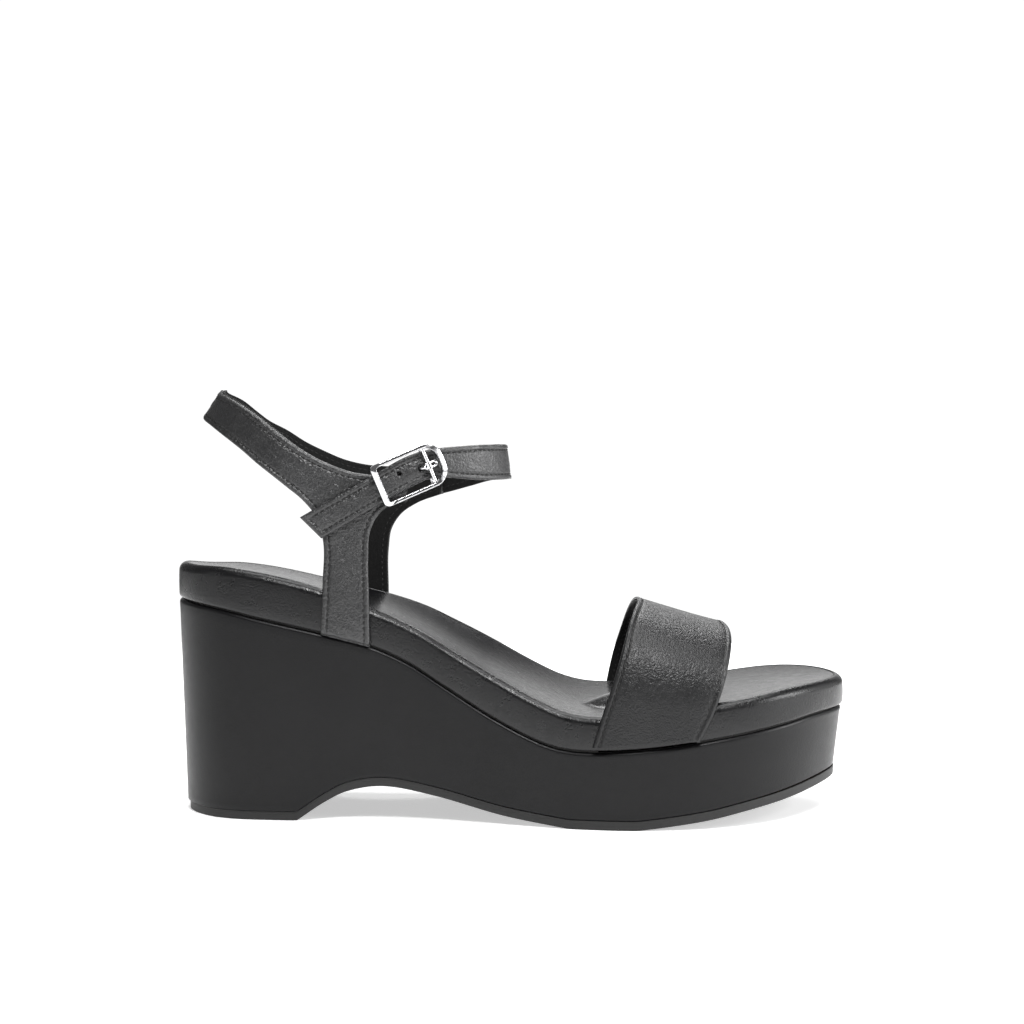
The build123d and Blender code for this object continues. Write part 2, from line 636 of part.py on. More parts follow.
# ---------------------------------------------------------------- writing the nodes
def make_all():
    arch_prism, ball_prism = pad_prisms()
    return {
        "outsole": make_outsole(),
        "wedge_core": make_wedge_core(),
        "wedge_cover": make_wedge_cover(),
        "insole_board": make_insole_board(),
        "shank": make_shank(),
        "shank_rivets": rivet_set(0),
        "footbed_foam": make_footbed_foam(),
        "arch_pad": make_pad(arch_prism),
        "metatarsal_pad": make_pad(ball_prism),
        "sock_cover": make_sock_cover(),
        "footbed_band": make_footbed_band(),
        "vamp_outer": make_vamp_outer(),
        "vamp_lining": make_vamp_lining(),
        "quarter_outer": make_quarter_outer(),
        "quarter_lining": make_quarter_lining(),
        "ankle_strap_outer": make_ankle_strap(STRAP_MID + GAP, STRAP_OUT),
        "ankle_strap_lining": make_ankle_strap(STRAP_IN, STRAP_MID),
        "strap_tail_outer": make_strap_tail(STRAP_MID + GAP, STRAP_OUT),
        "strap_tail_lining": make_strap_tail(STRAP_IN, STRAP_MID),
        "buckle_chape": make_buckle_chape(),
        "buckle_frame": make_buckle_frame(),
        "buckle_prong": make_buckle_prong(),
    }


os.makedirs("parts", exist_ok=True)
for node, piece in make_all().items():
    export_step(Pos(0, SIDE_SHIFT, 0) * piece, f"parts/{node}.step")
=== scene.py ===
import json
import math

import bpy
import numpy as np
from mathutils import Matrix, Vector
from mathutils.geometry import delaunay_2d_cdt
from mathutils.kdtree import KDTree


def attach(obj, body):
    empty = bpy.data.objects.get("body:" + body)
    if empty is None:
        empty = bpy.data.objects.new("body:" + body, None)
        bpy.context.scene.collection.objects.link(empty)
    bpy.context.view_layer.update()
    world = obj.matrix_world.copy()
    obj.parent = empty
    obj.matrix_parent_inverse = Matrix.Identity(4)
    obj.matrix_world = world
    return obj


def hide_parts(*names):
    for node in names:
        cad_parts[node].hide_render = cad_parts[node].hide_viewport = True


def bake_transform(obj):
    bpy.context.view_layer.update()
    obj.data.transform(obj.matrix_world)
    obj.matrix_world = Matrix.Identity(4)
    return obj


# A black leather platform wedge sandal. Shapes are worked out in millimetres, in the
# frame's own axes (+X to the toe, +Y to the inner side of the foot, +Z up), and turned
# into metres when a mesh is made.

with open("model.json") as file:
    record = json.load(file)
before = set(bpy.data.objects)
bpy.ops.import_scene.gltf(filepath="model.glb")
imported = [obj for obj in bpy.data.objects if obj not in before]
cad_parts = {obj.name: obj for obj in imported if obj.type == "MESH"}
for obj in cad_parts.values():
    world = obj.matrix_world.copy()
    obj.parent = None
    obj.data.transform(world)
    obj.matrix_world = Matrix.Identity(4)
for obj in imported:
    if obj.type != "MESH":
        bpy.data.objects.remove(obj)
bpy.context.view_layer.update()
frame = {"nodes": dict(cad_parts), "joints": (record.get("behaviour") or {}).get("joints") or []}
nodes = frame["nodes"]
joints = {joint["name"]: joint for joint in frame["joints"]}
random = np.random.default_rng(38)

MM = 0.001
SIDE = 2.3                 # from the ankle's middle plane to the middle of the shoe

# ---- the sole's lines
FOOTBED_PLAN = [
    (-126, 0), (-121.5, -14), (-109.2, -25.7), (-90, -30.5), (-60, -32), (-25, -33.5),
    (5, -39.5), (30, -45.5), (52, -47), (75, -44.7), (99, -35), (116.5, -18.5), (126.2, 2),
    (123.3, 19.5), (112.5, 31.8), (93, 39.2), (65, 42.5), (38, 40), (10, 33.5),
    (-20, 28.7), (-55, 30.2), (-90, 30.5), (-109.2, 25.7), (-121.5, 14)]
FOOTBED_TOP = [
    (-130, 97.5), (-118, 94), (-104, 92.4), (-88, 89.6), (-70, 85.2), (-50, 78.3), (-35, 71.5),
    (-20, 62.5), (-5, 53.8), (8, 46.9), (20, 42.2), (32, 41), (55, 43.6), (80, 46.4),
    (100, 49.6), (130, 52.4)]
GROOVE_LINE = [
    (-130, 80.9), (-108, 78), (-92, 74.5), (-70, 69.6), (-52, 65), (-38, 58.8),
    (-24, 49.8), (-8, 39.8), (8, 31.8), (18, 28.9), (30, 28.3), (50, 29.6), (75, 33),
    (100, 37), (113, 39), (130, 39.4)]
HEEL_FRONT = -79.0
BALL_BACK, BALL_FRONT = 20.0, 45.0
ARCH_LINE = [(HEEL_FRONT, 0), (-69, 6.8), (-60, 11.2), (-47, 13), (-29, 9.9), (-4, 3.6),
             (BALL_BACK, 0)]
TOE_LINE = [(BALL_FRONT, 0), (57, 1.5), (71, 3.5), (84, 6), (97, 8.3), (118, 12), (130, 13.3)]
OUTER_REACH = [(-135, 24), (-100, 28), (-60, 32), (-25, 33.5), (5, 39.5), (30, 45.5),
               (60, 47), (85, 42), (110, 30), (135, 22)]
INNER_REACH = [(-135, 24), (-100, 28), (-60, 30.5), (-20, 28.7), (10, 33.5), (38, 40),
               (65, 42.5), (92, 39), (110, 33), (135, 26)]
OUTSOLE = 3.4
# The wedge's walls: top edge inside the footbed's edge, lean inward for each millimetre
# down, and the outsole's edge inside their foot, as (x, millimetres).
WEDGE_INSET = [(-130, 0.1), (-60, 0.5), (40, 0.5), (130, 0.8)]
DRAFT = [(-130, 0.034), (-20, 0.03), (40, 0.008), (80, 0.03), (115, 0.1), (130, 0.12)]
OUTSOLE_INSET = [(-130, 0.9), (-40, 0.7), (20, 0.1), (60, 0.0), (130, 0.0)]

# Ankle form: (z, x at the back, x at the front, half width, middle y).
ANKLE = [
    (58, -157, 36, 32.3, -0.8), (80, -150, 14, 32.6, -0.6), (105, -141, -2.4, 31.9, 0),
    (125, -129.3, -4.9, 30.7, 0), (145, -116.3, -7.3, 29.3, 0), (168, -101.3, -10.0, 27.8, 0)]
# Forefoot form: (x, crown z, outer half width, inner half width).
FOREFOOT = [
    (20, 88.0, 46.7, 39.3), (38, 82.6, 48.6, 42.3), (56, 77.0, 49.1, 44.4),
    (74, 71.7, 46.9, 44.2), (92, 67.4, 41.5, 40.9)]
FOREFOOT_SPRING, FOREFOOT_POWER = 41.0, 2.6
OFF_LONG = 1.08            # what an offset of 1 adds along the ankle's form


# ---- curves
def height(line, x):
    """Smooth height of a side view line at each x."""
    xs, zs = np.array(line, float).T
    slope = np.diff(zs) / np.diff(xs)
    slope = np.concatenate([slope[:1], (zs[2:] - zs[:-2]) / (xs[2:] - xs[:-2]), slope[-1:]])
    x = np.asarray(x, float)
    i = np.clip(np.searchsorted(xs, x) - 1, 0, len(xs) - 2)
    span = xs[i + 1] - xs[i]
    t = (x - xs[i]) / span
    ease = t * t * (3 - 2 * t)
    bend = slope[i] * t * (1 - t) ** 2 - slope[i + 1] * t * t * (1 - t)
    return zs[i] + (zs[i + 1] - zs[i]) * ease + span * bend


def columns(table, at):
    """Every column of a table as a smooth curve over its first, at the places given."""
    return [height([(row[0], row[k]) for row in table], at) for k in range(1, len(table[0]))]


def ground(x):
    """Height of the sole's underside at each x."""
    x = np.asarray(x, float)
    arch = height(ARCH_LINE, np.clip(x, HEEL_FRONT, BALL_BACK))
    toe = height(TOE_LINE, np.clip(x, BALL_FRONT, 130))
    return np.where(x > BALL_FRONT, toe, np.maximum(arch, 0))


def resample(points, step):
    """Evenly spaced points along a line of points."""
    points = np.asarray(points, float)
    length = np.concatenate([[0], np.cumsum(np.linalg.norm(np.diff(points, axis=0), axis=1))])
    count = max(2, int(round(length[-1] / step)) + 1)
    at = np.linspace(0, length[-1], count)
    return np.stack([np.interp(at, length, points[:, k]) for k in range(points.shape[1])], 1)


def smooth_path(points, step):
    """Evenly spaced points along a smooth curve through the given ones."""
    points = np.array(points, float)
    chord = np.linalg.norm(np.diff(points, axis=0), axis=1)
    t = np.concatenate([[0], np.cumsum(chord)])
    tangent = np.gradient(points, t, axis=0, edge_order=1)
    dense = []
    for i, span in enumerate(chord):
        s = np.linspace(0, 1, 24, endpoint=False)[:, None]
        dense.append((2 * s ** 3 - 3 * s ** 2 + 1) * points[i]
                     + (s ** 3 - 2 * s ** 2 + s) * span * tangent[i]
                     + (3 * s ** 2 - 2 * s ** 3) * points[i + 1]
                     + (s ** 3 - s ** 2) * span * tangent[i + 1])
    dense.append(points[-1:])
    return resample(np.concatenate(dense), step)


def closed_spline(points, step):
    """Evenly spaced points on a closed curve with smooth curvature through the given ones."""
    p = np.array(points, float)
    n = len(p)
    h = np.linalg.norm(np.roll(p, -1, 0) - p, axis=1)
    before = np.roll(h, 1)
    system = np.diag(2 * (before + h))
    for i in range(n):
        system[i, i - 1] = before[i]
        system[i, (i + 1) % n] = h[i]
    slope = (np.roll(p, -1, 0) - p) / h[:, None]
    bend = np.linalg.solve(system, 6 * (slope - np.roll(slope, 1, 0)))
    after = np.roll(bend, -1, 0)
    dense = []
    for i in range(n):
        t = np.linspace(0, h[i], 40, endpoint=False)[:, None]
        dense.append(bend[i] * (h[i] - t) ** 3 / (6 * h[i]) + after[i] * t ** 3 / (6 * h[i])
                     + (p[i] / h[i] - bend[i] * h[i] / 6) * (h[i] - t)
                     + (p[(i + 1) % n] / h[i] - after[i] * h[i] / 6) * t)
    loop = np.concatenate(dense + [p[:1]])
    return resample(loop, step)[:-1]


def inward(loop):
    """Unit inward normals of an anticlockwise closed loop."""
    along = np.roll(loop, -1, 0) - np.roll(loop, 1, 0)
    along /= np.linalg.norm(along, axis=1)[:, None]
    return np.stack([-along[:, 1], along[:, 0]], 1)


# ---- the two lasts
ANKLE_LEVELS = np.linspace(58, 168, 56)
TURN = np.linspace(-math.pi / 2, math.pi / 2, 361)


def ankle_section(z):
    """Middle x, half length, half width and middle y of the ankle at each height."""
    back, front, half_width, middle = columns(ANKLE, z)
    return (back + front) / 2, (front - back) / 2, half_width, middle


def arc_table():
    """Arc length from the leather's middle, for every level and turn."""
    middle, long_half, half_width, _ = ankle_section(ANKLE_LEVELS)
    speed = np.sqrt((long_half[:, None] * np.cos(TURN)) ** 2
                    + (half_width[:, None] * np.sin(TURN)) ** 2)
    step = TURN[1] - TURN[0]
    arc = np.concatenate([np.zeros((len(speed), 1)),
                          np.cumsum((speed[:, 1:] + speed[:, :-1]) / 2 * step, axis=1)], 1)
    return arc - arc[:, [len(TURN) // 2]]


ANKLE_ARC = arc_table()


def ankle_rows(z):
    """Arc length tables at the given heights."""
    at = np.clip((np.asarray(z, float) - ANKLE_LEVELS[0]) / (ANKLE_LEVELS[1] - ANKLE_LEVELS[0]),
                 0, len(ANKLE_LEVELS) - 1.001)
    low = at.astype(int)
    share = (at - low)[:, None]
    return ANKLE_ARC[low] * (1 - share) + ANKLE_ARC[low + 1] * share


def ankle_place(side):
    """Places (u, z) on one side of the ankle: u runs forward along the leather.
    side is -1 for the outer side, where the buckle is, and 1 for the inner side."""
    def place(uv, off):
        u, z = uv[:, 0], uv[:, 1]
        middle, long_half, half_width, shift = ankle_section(z)
        arcs = ankle_rows(z)
        turn = np.array([np.interp(a, row, TURN) for a, row in zip(u - middle, arcs)])
        x = middle + (long_half + OFF_LONG * off) * np.sin(turn)
        y = shift + side * (half_width + off) * np.cos(turn) + SIDE
        return np.stack([x, y, z], 1)
    return place


def ankle_uv(points, off):
    """(x, z) points of a side view, as (u, z)."""
    points = np.array(points, float)
    middle, long_half, _, _ = ankle_section(points[:, 1])
    turn = np.arcsin(np.clip((points[:, 0] - middle) / (long_half + OFF_LONG * off), -1, 1))
    arcs = ankle_rows(points[:, 1])
    u = [np.interp(t, TURN, row) for t, row in zip(turn, arcs)] + middle
    return np.stack([u, points[:, 1]], 1)


def end_line(z, end):
    """u of the heel line (end 0) or of the front line (end -1) at the given heights."""
    middle = ankle_section(np.asarray(z, float))[0]
    return middle + ankle_rows(z)[:, end]


ROUND = np.linspace(0, math.pi, 241)


def forefoot_curve(x, off):
    """Points (y, z) across the forefoot at x, from the outer side to the inner one."""
    crown, outer, inner = columns(FOREFOOT, x)
    side, up = -np.cos(ROUND), np.sin(ROUND)
    reach = np.where(side < 0, outer, inner) + off
    y = np.sign(side) * np.abs(side) ** (2 / FOREFOOT_POWER) * reach
    z = FOREFOOT_SPRING + (crown + off - FOREFOOT_SPRING) * up ** (2 / FOREFOOT_POWER)
    y = np.concatenate([[y[0]], y, [y[-1]]])
    z = np.concatenate([[15.0], z, [15.0]])
    return y, z


def arc_and_crown(y, z):
    """Arc length along a forefoot curve, and where the crown lies on it."""
    arc = np.concatenate([[0], np.cumsum(np.hypot(np.diff(y), np.diff(z)))])
    return arc, np.interp(0.0, y, arc)


def forefoot_place(uv, off):
    """Places (u, x) over the forefoot: u is measured from the crown, inner side up."""
    out = np.empty((len(uv), 3))
    for k, ((u, x), by) in enumerate(zip(uv, off)):
        arc, crown = arc_and_crown(*forefoot_curve(x, 0.0))
        y, z = forefoot_curve(x, by)
        out[k] = x, np.interp(crown + u, arc, y) + SIDE, np.interp(crown + u, arc, z)
    return out


def forefoot_u(x, z, side):
    """u of the point at height z on one side of the forefoot."""
    y, heights = forefoot_curve(x, 0.0)
    arc, crown = arc_and_crown(y, heights)
    top = int(np.argmax(heights))
    if side < 0:
        return np.interp(z, heights[:top + 1], arc[:top + 1]) - crown
    return np.interp(-z, -heights[top:], arc[top:]) - crown


# ---- meshes
def in_scene(name, data):
    """New object in the scene."""
    obj = bpy.data.objects.new(name, data)
    bpy.context.scene.collection.objects.link(obj)
    return obj


def make_object(name, shape, body, material, replaces=(), sharp=50):
    """Mesh object in metres, riding on a body and standing for CAD nodes."""
    verts, faces = shape
    mesh = bpy.data.meshes.new(name)
    mesh.from_pydata((np.asarray(verts) * MM).tolist(), [], faces)
    mesh.validate()
    mesh.shade_smooth()
    mesh.set_sharp_from_angle(angle=math.radians(sharp))
    mesh.materials.append(material)
    obj = in_scene(name, mesh)
    if body:
        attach(obj, body)
    if replaces:
        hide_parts(*replaces)
    return obj


def grid_faces(rows, columns, joined):
    """Quads between rows that are closed rings; joined ties the last row to the first."""
    faces = []
    for j in range(rows if joined else rows - 1):
        k = (j + 1) % rows
        for i in range(columns):
            n = (i + 1) % columns
            faces.append((j * columns + i, j * columns + n, k * columns + n, k * columns + i))
    return faces


def bar_faces(rows, columns):
    """Quads of a bar with a flat cap at each end."""
    last = (rows - 1) * columns
    caps = [tuple(reversed(range(columns))), tuple(last + k for k in range(columns))]
    return grid_faces(rows, columns, False) + caps


def inside(points, loop):
    """Which points lie inside a closed polygon."""
    result = np.zeros(len(points), bool)
    x, y = points[:, 0], points[:, 1]
    for (x0, y0), (x1, y1) in zip(loop, np.roll(loop, -1, 0)):
        if y0 == y1:
            continue
        hit = (y0 > y) != (y1 > y)
        result ^= hit & (x < (x1 - x0) * (y - y0) / (y1 - y0) + x0)
    return result


def from_centre(points, centre):
    return np.hypot(*(points - np.array(centre)).T)


def nearest(points, samples):
    """Distance from each point to the nearest sample."""
    tree = KDTree(len(samples))
    for i, s in enumerate(samples):
        tree.insert((*s, 0.0)[:3], i)
    tree.balance()
    return np.array([tree.find((*p, 0.0)[:3])[2] for p in points])


RINGS = (0.12, 0.35, 0.7, 1.1, 1.5, 1.8, 2.05, 2.3, 2.7, 3.3)
HOLE_STEPS = 24
HOLE_RINGS = (0.0, 0.25, 0.6)
HOLE_CLEAR = 0.8           # no loose points nearer to a hole's edge than this


class Patch:
    """Triangles over a closed outline in a flat domain, with rings of points that
    follow its free edges. paths are (points, kind), in anticlockwise order; kind is
    free (a cut or folded edge), seam (joins the other half) or hidden. turned is for
    a domain that a place function mirrors."""

    def __init__(self, paths, place, grain=1.1, rings=RINGS, holes=(), creases=(),
                 turned=False):
        self.place = place
        self.loop = np.concatenate([points[:-1] for points, _ in paths])
        self.kinds = np.array([kind for points, kind in paths for _ in points[1:]])
        fixed, edges = self.fixed_points(holes, creases)
        loose = np.concatenate(self.edge_rings(rings) + [self.lattice(grain, rings[-1])])
        for centre, radius in holes:
            loose = loose[from_centre(loose, centre) > radius + HOLE_CLEAR]
        loose = loose[inside(loose, self.loop)]
        points = np.concatenate(fixed + [loose])
        result = delaunay_2d_cdt([Vector(p) for p in points], edges, [], 1, 1e-4)
        self.uv = np.array([tuple(v) for v in result[0]])
        self.faces = [tuple(reversed(f)) if turned else tuple(f) for f in result[2]]
        for centre, radius in holes:
            middles = np.array([self.uv[list(f)].mean(0) for f in self.faces])
            keep = from_centre(middles, centre) > radius * 0.97
            self.faces = [f for f, k in zip(self.faces, keep) if k]
        self.base = place(self.uv, np.zeros(len(self.uv)))
        free = self.loop[self.kinds == "free"]
        self.from_edge = nearest(self.base, place(free, np.zeros(len(free))))
        self.from_hole = np.full(len(self.uv), 99.0)
        for centre, radius in holes:
            self.from_hole = np.minimum(self.from_hole,
                                        from_centre(self.uv, centre) - radius)

    def fixed_points(self, holes, creases):
        """Points that the mesh must keep, and the edges between them."""
        count = len(self.loop)
        points = [self.loop]
        edges = [(i, (i + 1) % count) for i in range(count)]
        angles = np.linspace(0, 2 * math.pi, HOLE_STEPS + 1)[:-1]
        for centre, radius in holes:
            edges += [(count + i, count + (i + 1) % HOLE_STEPS) for i in range(HOLE_STEPS)]
            for wider in HOLE_RINGS:
                r = radius + wider
                points.append(np.stack([centre[0] + r * np.cos(angles),
                                        centre[1] + r * np.sin(angles)], 1))
                count += HOLE_STEPS
        for line in creases:
            points.append(line)
            edges += [(count + i, count + i + 1) for i in range(len(line) - 1)]
            count += len(line)
        return points, edges

    def edge_rings(self, rings):
        """Rows of points that follow the outline at each distance."""
        normals = inward(self.loop)
        rim = self.loop[self.kinds != "seam"]
        rows = []
        for d in rings:
            row = (self.loop + normals * d)[self.kinds != "seam"]
            row = row[nearest(row, rim) > d * 0.93]
            rows.append(resample_gaps(row, 0.45 + 0.12 * d))
        return rows

    def lattice(self, grain, last_ring):
        """Points over the middle, past the last ring."""
        low, high = self.loop.min(0), self.loop.max(0)
        xs = np.arange(low[0], high[0], grain)
        ys = np.arange(low[1], high[1], grain * 0.87)
        points = np.array([(x + (grain / 2 if j % 2 else 0), y)
                           for j, y in enumerate(ys) for x in xs])
        points = points[inside(points, self.loop)]
        rim = self.loop[self.kinds != "seam"]
        return points[nearest(points, rim) > last_ring + grain * 0.5]

    def solid(self, low, high, seam_test=None):
        """Vertices and faces between two offset fields, closed along every open edge."""
        top = self.place(self.uv, high)
        bottom = self.place(self.uv, low)
        count = len(self.uv)
        use = {}
        for f in self.faces:
            for a, b in zip(f, f[1:] + f[:1]):
                use[(a, b)] = 1
        faces = self.faces + [tuple(count + i for i in reversed(f)) for f in self.faces]
        for a, b in use:
            if (b, a) in use:
                continue
            if seam_test is not None and seam_test[a] and seam_test[b]:
                continue
            faces.append((b, a, count + a, count + b))
        return np.concatenate([top, bottom]), faces


def resample_gaps(points, step):
    """Thins a row of points to about one per step."""
    kept = []
    last = None
    for p in points:
        if last is None or np.hypot(*(p - last)) >= step:
            kept.append(p)
            last = p
    return np.array(kept).reshape(-1, 2)


def join_halves(parts):
    """Joins solids that share seam points into one set of vertices and faces."""
    verts, faces, index = [], [], {}
    for points, polygons in parts:
        own = []
        for p in points:
            key = tuple(np.round(p, 3))
            if key not in index:
                index[key] = len(verts)
                verts.append(p)
            own.append(index[key])
        for f in polygons:
            f = [own[i] for i in f]
            f = [a for a, b in zip(f, f[1:] + f[:1]) if a != b]
            if len(f) > 2:
                faces.append(tuple(f))
    return np.array(verts), faces


def soft_edge(distance, radius):
    """0 away from an edge, rising to 1 at it, as a quarter circle."""
    t = np.clip(1 - distance / radius, 0, 1)
    return 1 - np.sqrt(np.clip(1 - t * t, 0, 1))


STITCH_IN = 2.05           # stitch row's distance from the edge
FURROW, WELT = 0.36, 0.16  # how far the stitches pull the leather in, and the edge swells


def leather_offsets(patch, low, high, stitched=True, fold=0.8, tuck=None):
    """Offsets of a leather's two faces: rolled edge, stitch furrow, tuck at the groove."""
    d = patch.from_edge
    thick = high - low
    top = high - 0.72 * thick * soft_edge(d, fold) - 0.3 * soft_edge(patch.from_hole, 0.5)
    bottom = low + 0.18 * thick * soft_edge(d, fold * 0.6)
    if stitched:
        top -= FURROW * np.exp(-((d - STITCH_IN) / 0.40) ** 2)
        top += WELT * np.exp(-((d - 1.1) / 0.45) ** 2)
    if tuck is not None:
        sink = 1.5 * soft_edge(tuck, 1.6)
        top -= sink
        bottom -= sink
    return bottom, top


# ---- materials
def node_material(name):
    """New material, its node tree and its shader."""
    material = bpy.data.materials.new(name)
    material.use_nodes = True
    tree = material.node_tree
    return material, tree, tree.nodes["Principled BSDF"]


def feed(tree, socket, value):
    """Links an input to another node's output, or sets it to a value."""
    if isinstance(value, bpy.types.NodeSocket):
        tree.links.new(value, socket)
    else:
        socket.default_value = value


def wire(tree, node, **values):
    """Feeds a node's inputs, with _ for a space in their names, and sets its options."""
    for key, value in values.items():
        socket = node.inputs.get(key.replace("_", " "))
        if socket is None:
            setattr(node, key, value)
        else:
            feed(tree, socket, value)


def add(tree, kind, output, **values):
    """Adds a wired shader node and gives its output."""
    node = tree.nodes.new("ShaderNode" + kind)
    wire(tree, node, **values)
    return node.outputs[output]


def tones(tree, noise, low, high, dark, light):
    """Colour that runs from dark to light as a noise rises from low to high."""
    ramp = tree.nodes.new("ShaderNodeValToRGB")
    first, last = ramp.color_ramp.elements
    first.position, last.position = low, high
    first.color, last.color = (*dark, 1), (*light, 1)
    feed(tree, ramp.inputs["Fac"], noise)
    return ramp.outputs["Color"]


def leather_material(name, dark, light, rough, grain, grain_depth, crease_depth, spread=0.12,
                     shine=0.5):
    """Black leather: pebbled grain, fine pores, faint creases and uneven polish."""
    material, tree, shader = node_material(name)
    where = add(tree, "TexCoord", "Object")
    warp = add(tree, "TexNoise", "Color", Vector=where, Scale=grain * 0.35, Detail=2.0)
    bent = add(tree, "MixRGB", "Color", blend_type="LINEAR_LIGHT", Fac=0.0012,
               Color1=where, Color2=warp)
    cells = add(tree, "TexVoronoi", "Distance", feature="SMOOTH_F1", Vector=bent,
                Scale=grain, Smoothness=0.35, Randomness=1.0)
    pores = add(tree, "TexNoise", "Fac", Vector=where, Scale=grain * 2.6, Detail=3.0,
                Roughness=0.6)
    crease = add(tree, "TexNoise", "Fac", Vector=where, Scale=grain * 0.16, Detail=4.0,
                 Roughness=0.55, Distortion=0.5)
    broad = add(tree, "TexNoise", "Fac", Vector=where, Scale=38.0, Detail=3.0)
    polish = add(tree, "MapRange", "Result", Value=crease, From_Min=0.3, From_Max=0.75,
                 To_Min=rough - spread / 2, To_Max=rough + spread / 2)
    relief = add(tree, "Bump", "Normal", Strength=0.9, Distance=grain_depth * MM,
                 Height=cells, invert=True)
    relief = add(tree, "Bump", "Normal", Strength=0.5, Distance=grain_depth * 0.2 * MM,
                 Height=pores, Normal=relief)
    relief = add(tree, "Bump", "Normal", Strength=0.8, Distance=crease_depth * MM,
                 Height=crease, Normal=relief)
    wire(tree, shader, Base_Color=tones(tree, broad, 0.32, 0.72, dark, light),
         Roughness=polish, Normal=relief, Specular_IOR_Level=shine)
    return material


def plain_material(name, dark, light, rough, scale, depth, metallic=0.0):
    """A solid material with mottled tone, uneven roughness and a fine surface."""
    material, tree, shader = node_material(name)
    where = add(tree, "TexCoord", "Object")
    noise = add(tree, "TexNoise", "Fac", Vector=where, Scale=scale, Detail=5.0,
                Roughness=0.6)
    polish = add(tree, "MapRange", "Result", Value=noise, To_Min=rough * 0.85,
                 To_Max=rough * 1.15)
    relief = add(tree, "Bump", "Normal", Strength=0.6, Distance=depth * MM, Height=noise)
    wire(tree, shader, Base_Color=tones(tree, noise, 0.3, 0.7, dark, light),
         Roughness=polish, Normal=relief, Metallic=metallic)
    return material


UPPER = leather_material("upper_leather", (0.009, 0.009, 0.0095), (0.022, 0.022, 0.023),
                         0.42, 1200.0, 0.20, 0.45, 0.12, 0.75)
VAMP = leather_material("vamp_leather", (0.004, 0.004, 0.0045), (0.009, 0.009, 0.0095),
                        0.38, 1500.0, 0.15, 0.16, 0.12, 0.42)
LINING = leather_material("lining_leather", (0.002, 0.002, 0.002), (0.004, 0.004, 0.004),
                          0.72, 1900.0, 0.05, 0.04, 0.12, 0.3)
SOCK = leather_material("sock_leather", (0.003, 0.003, 0.0035), (0.006, 0.006, 0.007),
                        0.24, 1900.0, 0.02, 0.06, 0.08, 0.35)
BAND = leather_material("band_leather", (0.002, 0.002, 0.0025), (0.005, 0.005, 0.0055),
                        0.30, 1600.0, 0.07, 0.05, 0.1, 0.42)
WEDGE = leather_material("wedge_leather", (0.002, 0.002, 0.0025), (0.004, 0.004, 0.0045),
                         0.38, 1900.0, 0.035, 0.03, 0.06, 0.27)


POLISHED, MATT = (0.36, 0.36, 0.36, 1), (0.05, 0.05, 0.05, 1)


def matt_arch(material):
    """The top leather loses its polish under the arch, where the foot doesn't press it."""
    tree = material.node_tree
    where = add(tree, "TexCoord", "Object")
    x = add(tree, "SeparateXYZ", "X", Vector=where)
    along = add(tree, "MapRange", "Result", Value=x, From_Min=-130 * MM, From_Max=130 * MM)
    ramp = tree.nodes.new("ShaderNodeValToRGB")
    stops = ramp.color_ramp.elements
    stops[0].position, stops[0].color = 0.19, POLISHED
    stops[1].position, stops[1].color = 0.60, POLISHED
    for position in (0.32, 0.46):
        stops.new(position).color = MATT
    feed(tree, ramp.inputs["Fac"], along)
    wire(tree, tree.nodes["Principled BSDF"], Specular_IOR_Level=ramp.outputs["Color"])


matt_arch(SOCK)
THREAD = plain_material("thread", (0.003, 0.003, 0.003), (0.01, 0.01, 0.01), 0.6, 3000, 0.05)
RUBBER = plain_material("outsole_rubber", (0.005, 0.005, 0.005), (0.010, 0.010, 0.010),
                        0.55, 900, 0.06)
METAL = plain_material("buckle_metal", (0.62, 0.62, 0.64), (0.70, 0.70, 0.71), 0.09, 500,
                       0.002, 1.0)
STEEL = plain_material("steel", (0.35, 0.35, 0.36), (0.45, 0.45, 0.46), 0.35, 300, 0.01, 1.0)
CORK = plain_material("wedge_core", (0.20, 0.12, 0.06), (0.36, 0.24, 0.14), 0.85, 260, 0.3)
# The insole board is painted near black as painted shade, so the narrow gap where it shows stays
# dark instead of lit by the floor.
BOARD_PAINTED_SHADE = plain_material("board", (0.006, 0.006, 0.006), (0.012, 0.011, 0.010), 0.85, 600, 0.1)
FOAM = plain_material("foam", (0.34, 0.30, 0.20), (0.46, 0.42, 0.30), 0.9, 900, 0.15)


def paint(obj, material):
    obj.data.materials.clear()
    obj.data.materials.append(material)


# ---- footbed's height
DISH, HEEL_TILT = 1.6, 1.0
ARCH_RISE, ARCH_X, ARCH_REACH = 6.8, -6.0, 66.0
PAD_RISE, PAD_X, PAD_Y, PAD_LONG, PAD_WIDE = 5.0, 47, -6, 20, 15


def footbed_height(x, y):
    """Height of the footbed's top; y is measured from the ankle's middle plane."""
    outer, inner = height(OUTER_REACH, x), height(INNER_REACH, x)
    share = (y + outer) / (outer + inner)
    z = height(FOOTBED_TOP, x) - DISH * np.maximum(0, 1 - (2 * share - 1) ** 2)
    heel = np.clip((-50 - x) / 30, 0, 1)
    z = z + HEEL_TILT * (1 - 2 * share) * heel * heel * (3 - 2 * heel)
    reach = np.clip((x - ARCH_X) / ARCH_REACH, -1, 1)
    z = z + ARCH_RISE * np.cos(reach * math.pi / 2) ** 2 * np.clip(share, 0, 1) ** 2
    away = ((x - PAD_X) / PAD_LONG) ** 2 + ((y - PAD_Y) / PAD_WIDE) ** 2
    return z + PAD_RISE * np.maximum(0, 1 - away)


# ---- sole
EDGE = closed_spline(FOOTBED_PLAN, 1.1)
EDGE_IN = inward(EDGE)


def snap_column(loop, x):
    """Moves the nearest points of a loop onto a line at x, on each side."""
    for sign in (-1, 1):
        half = np.where(loop[:, 1] * sign > 5)[0]
        nearest_one = half[np.argmin(np.abs(loop[half, 0] - x))]
        loop[nearest_one, 0] = x
    return loop


EDGE = snap_column(EDGE, HEEL_FRONT)


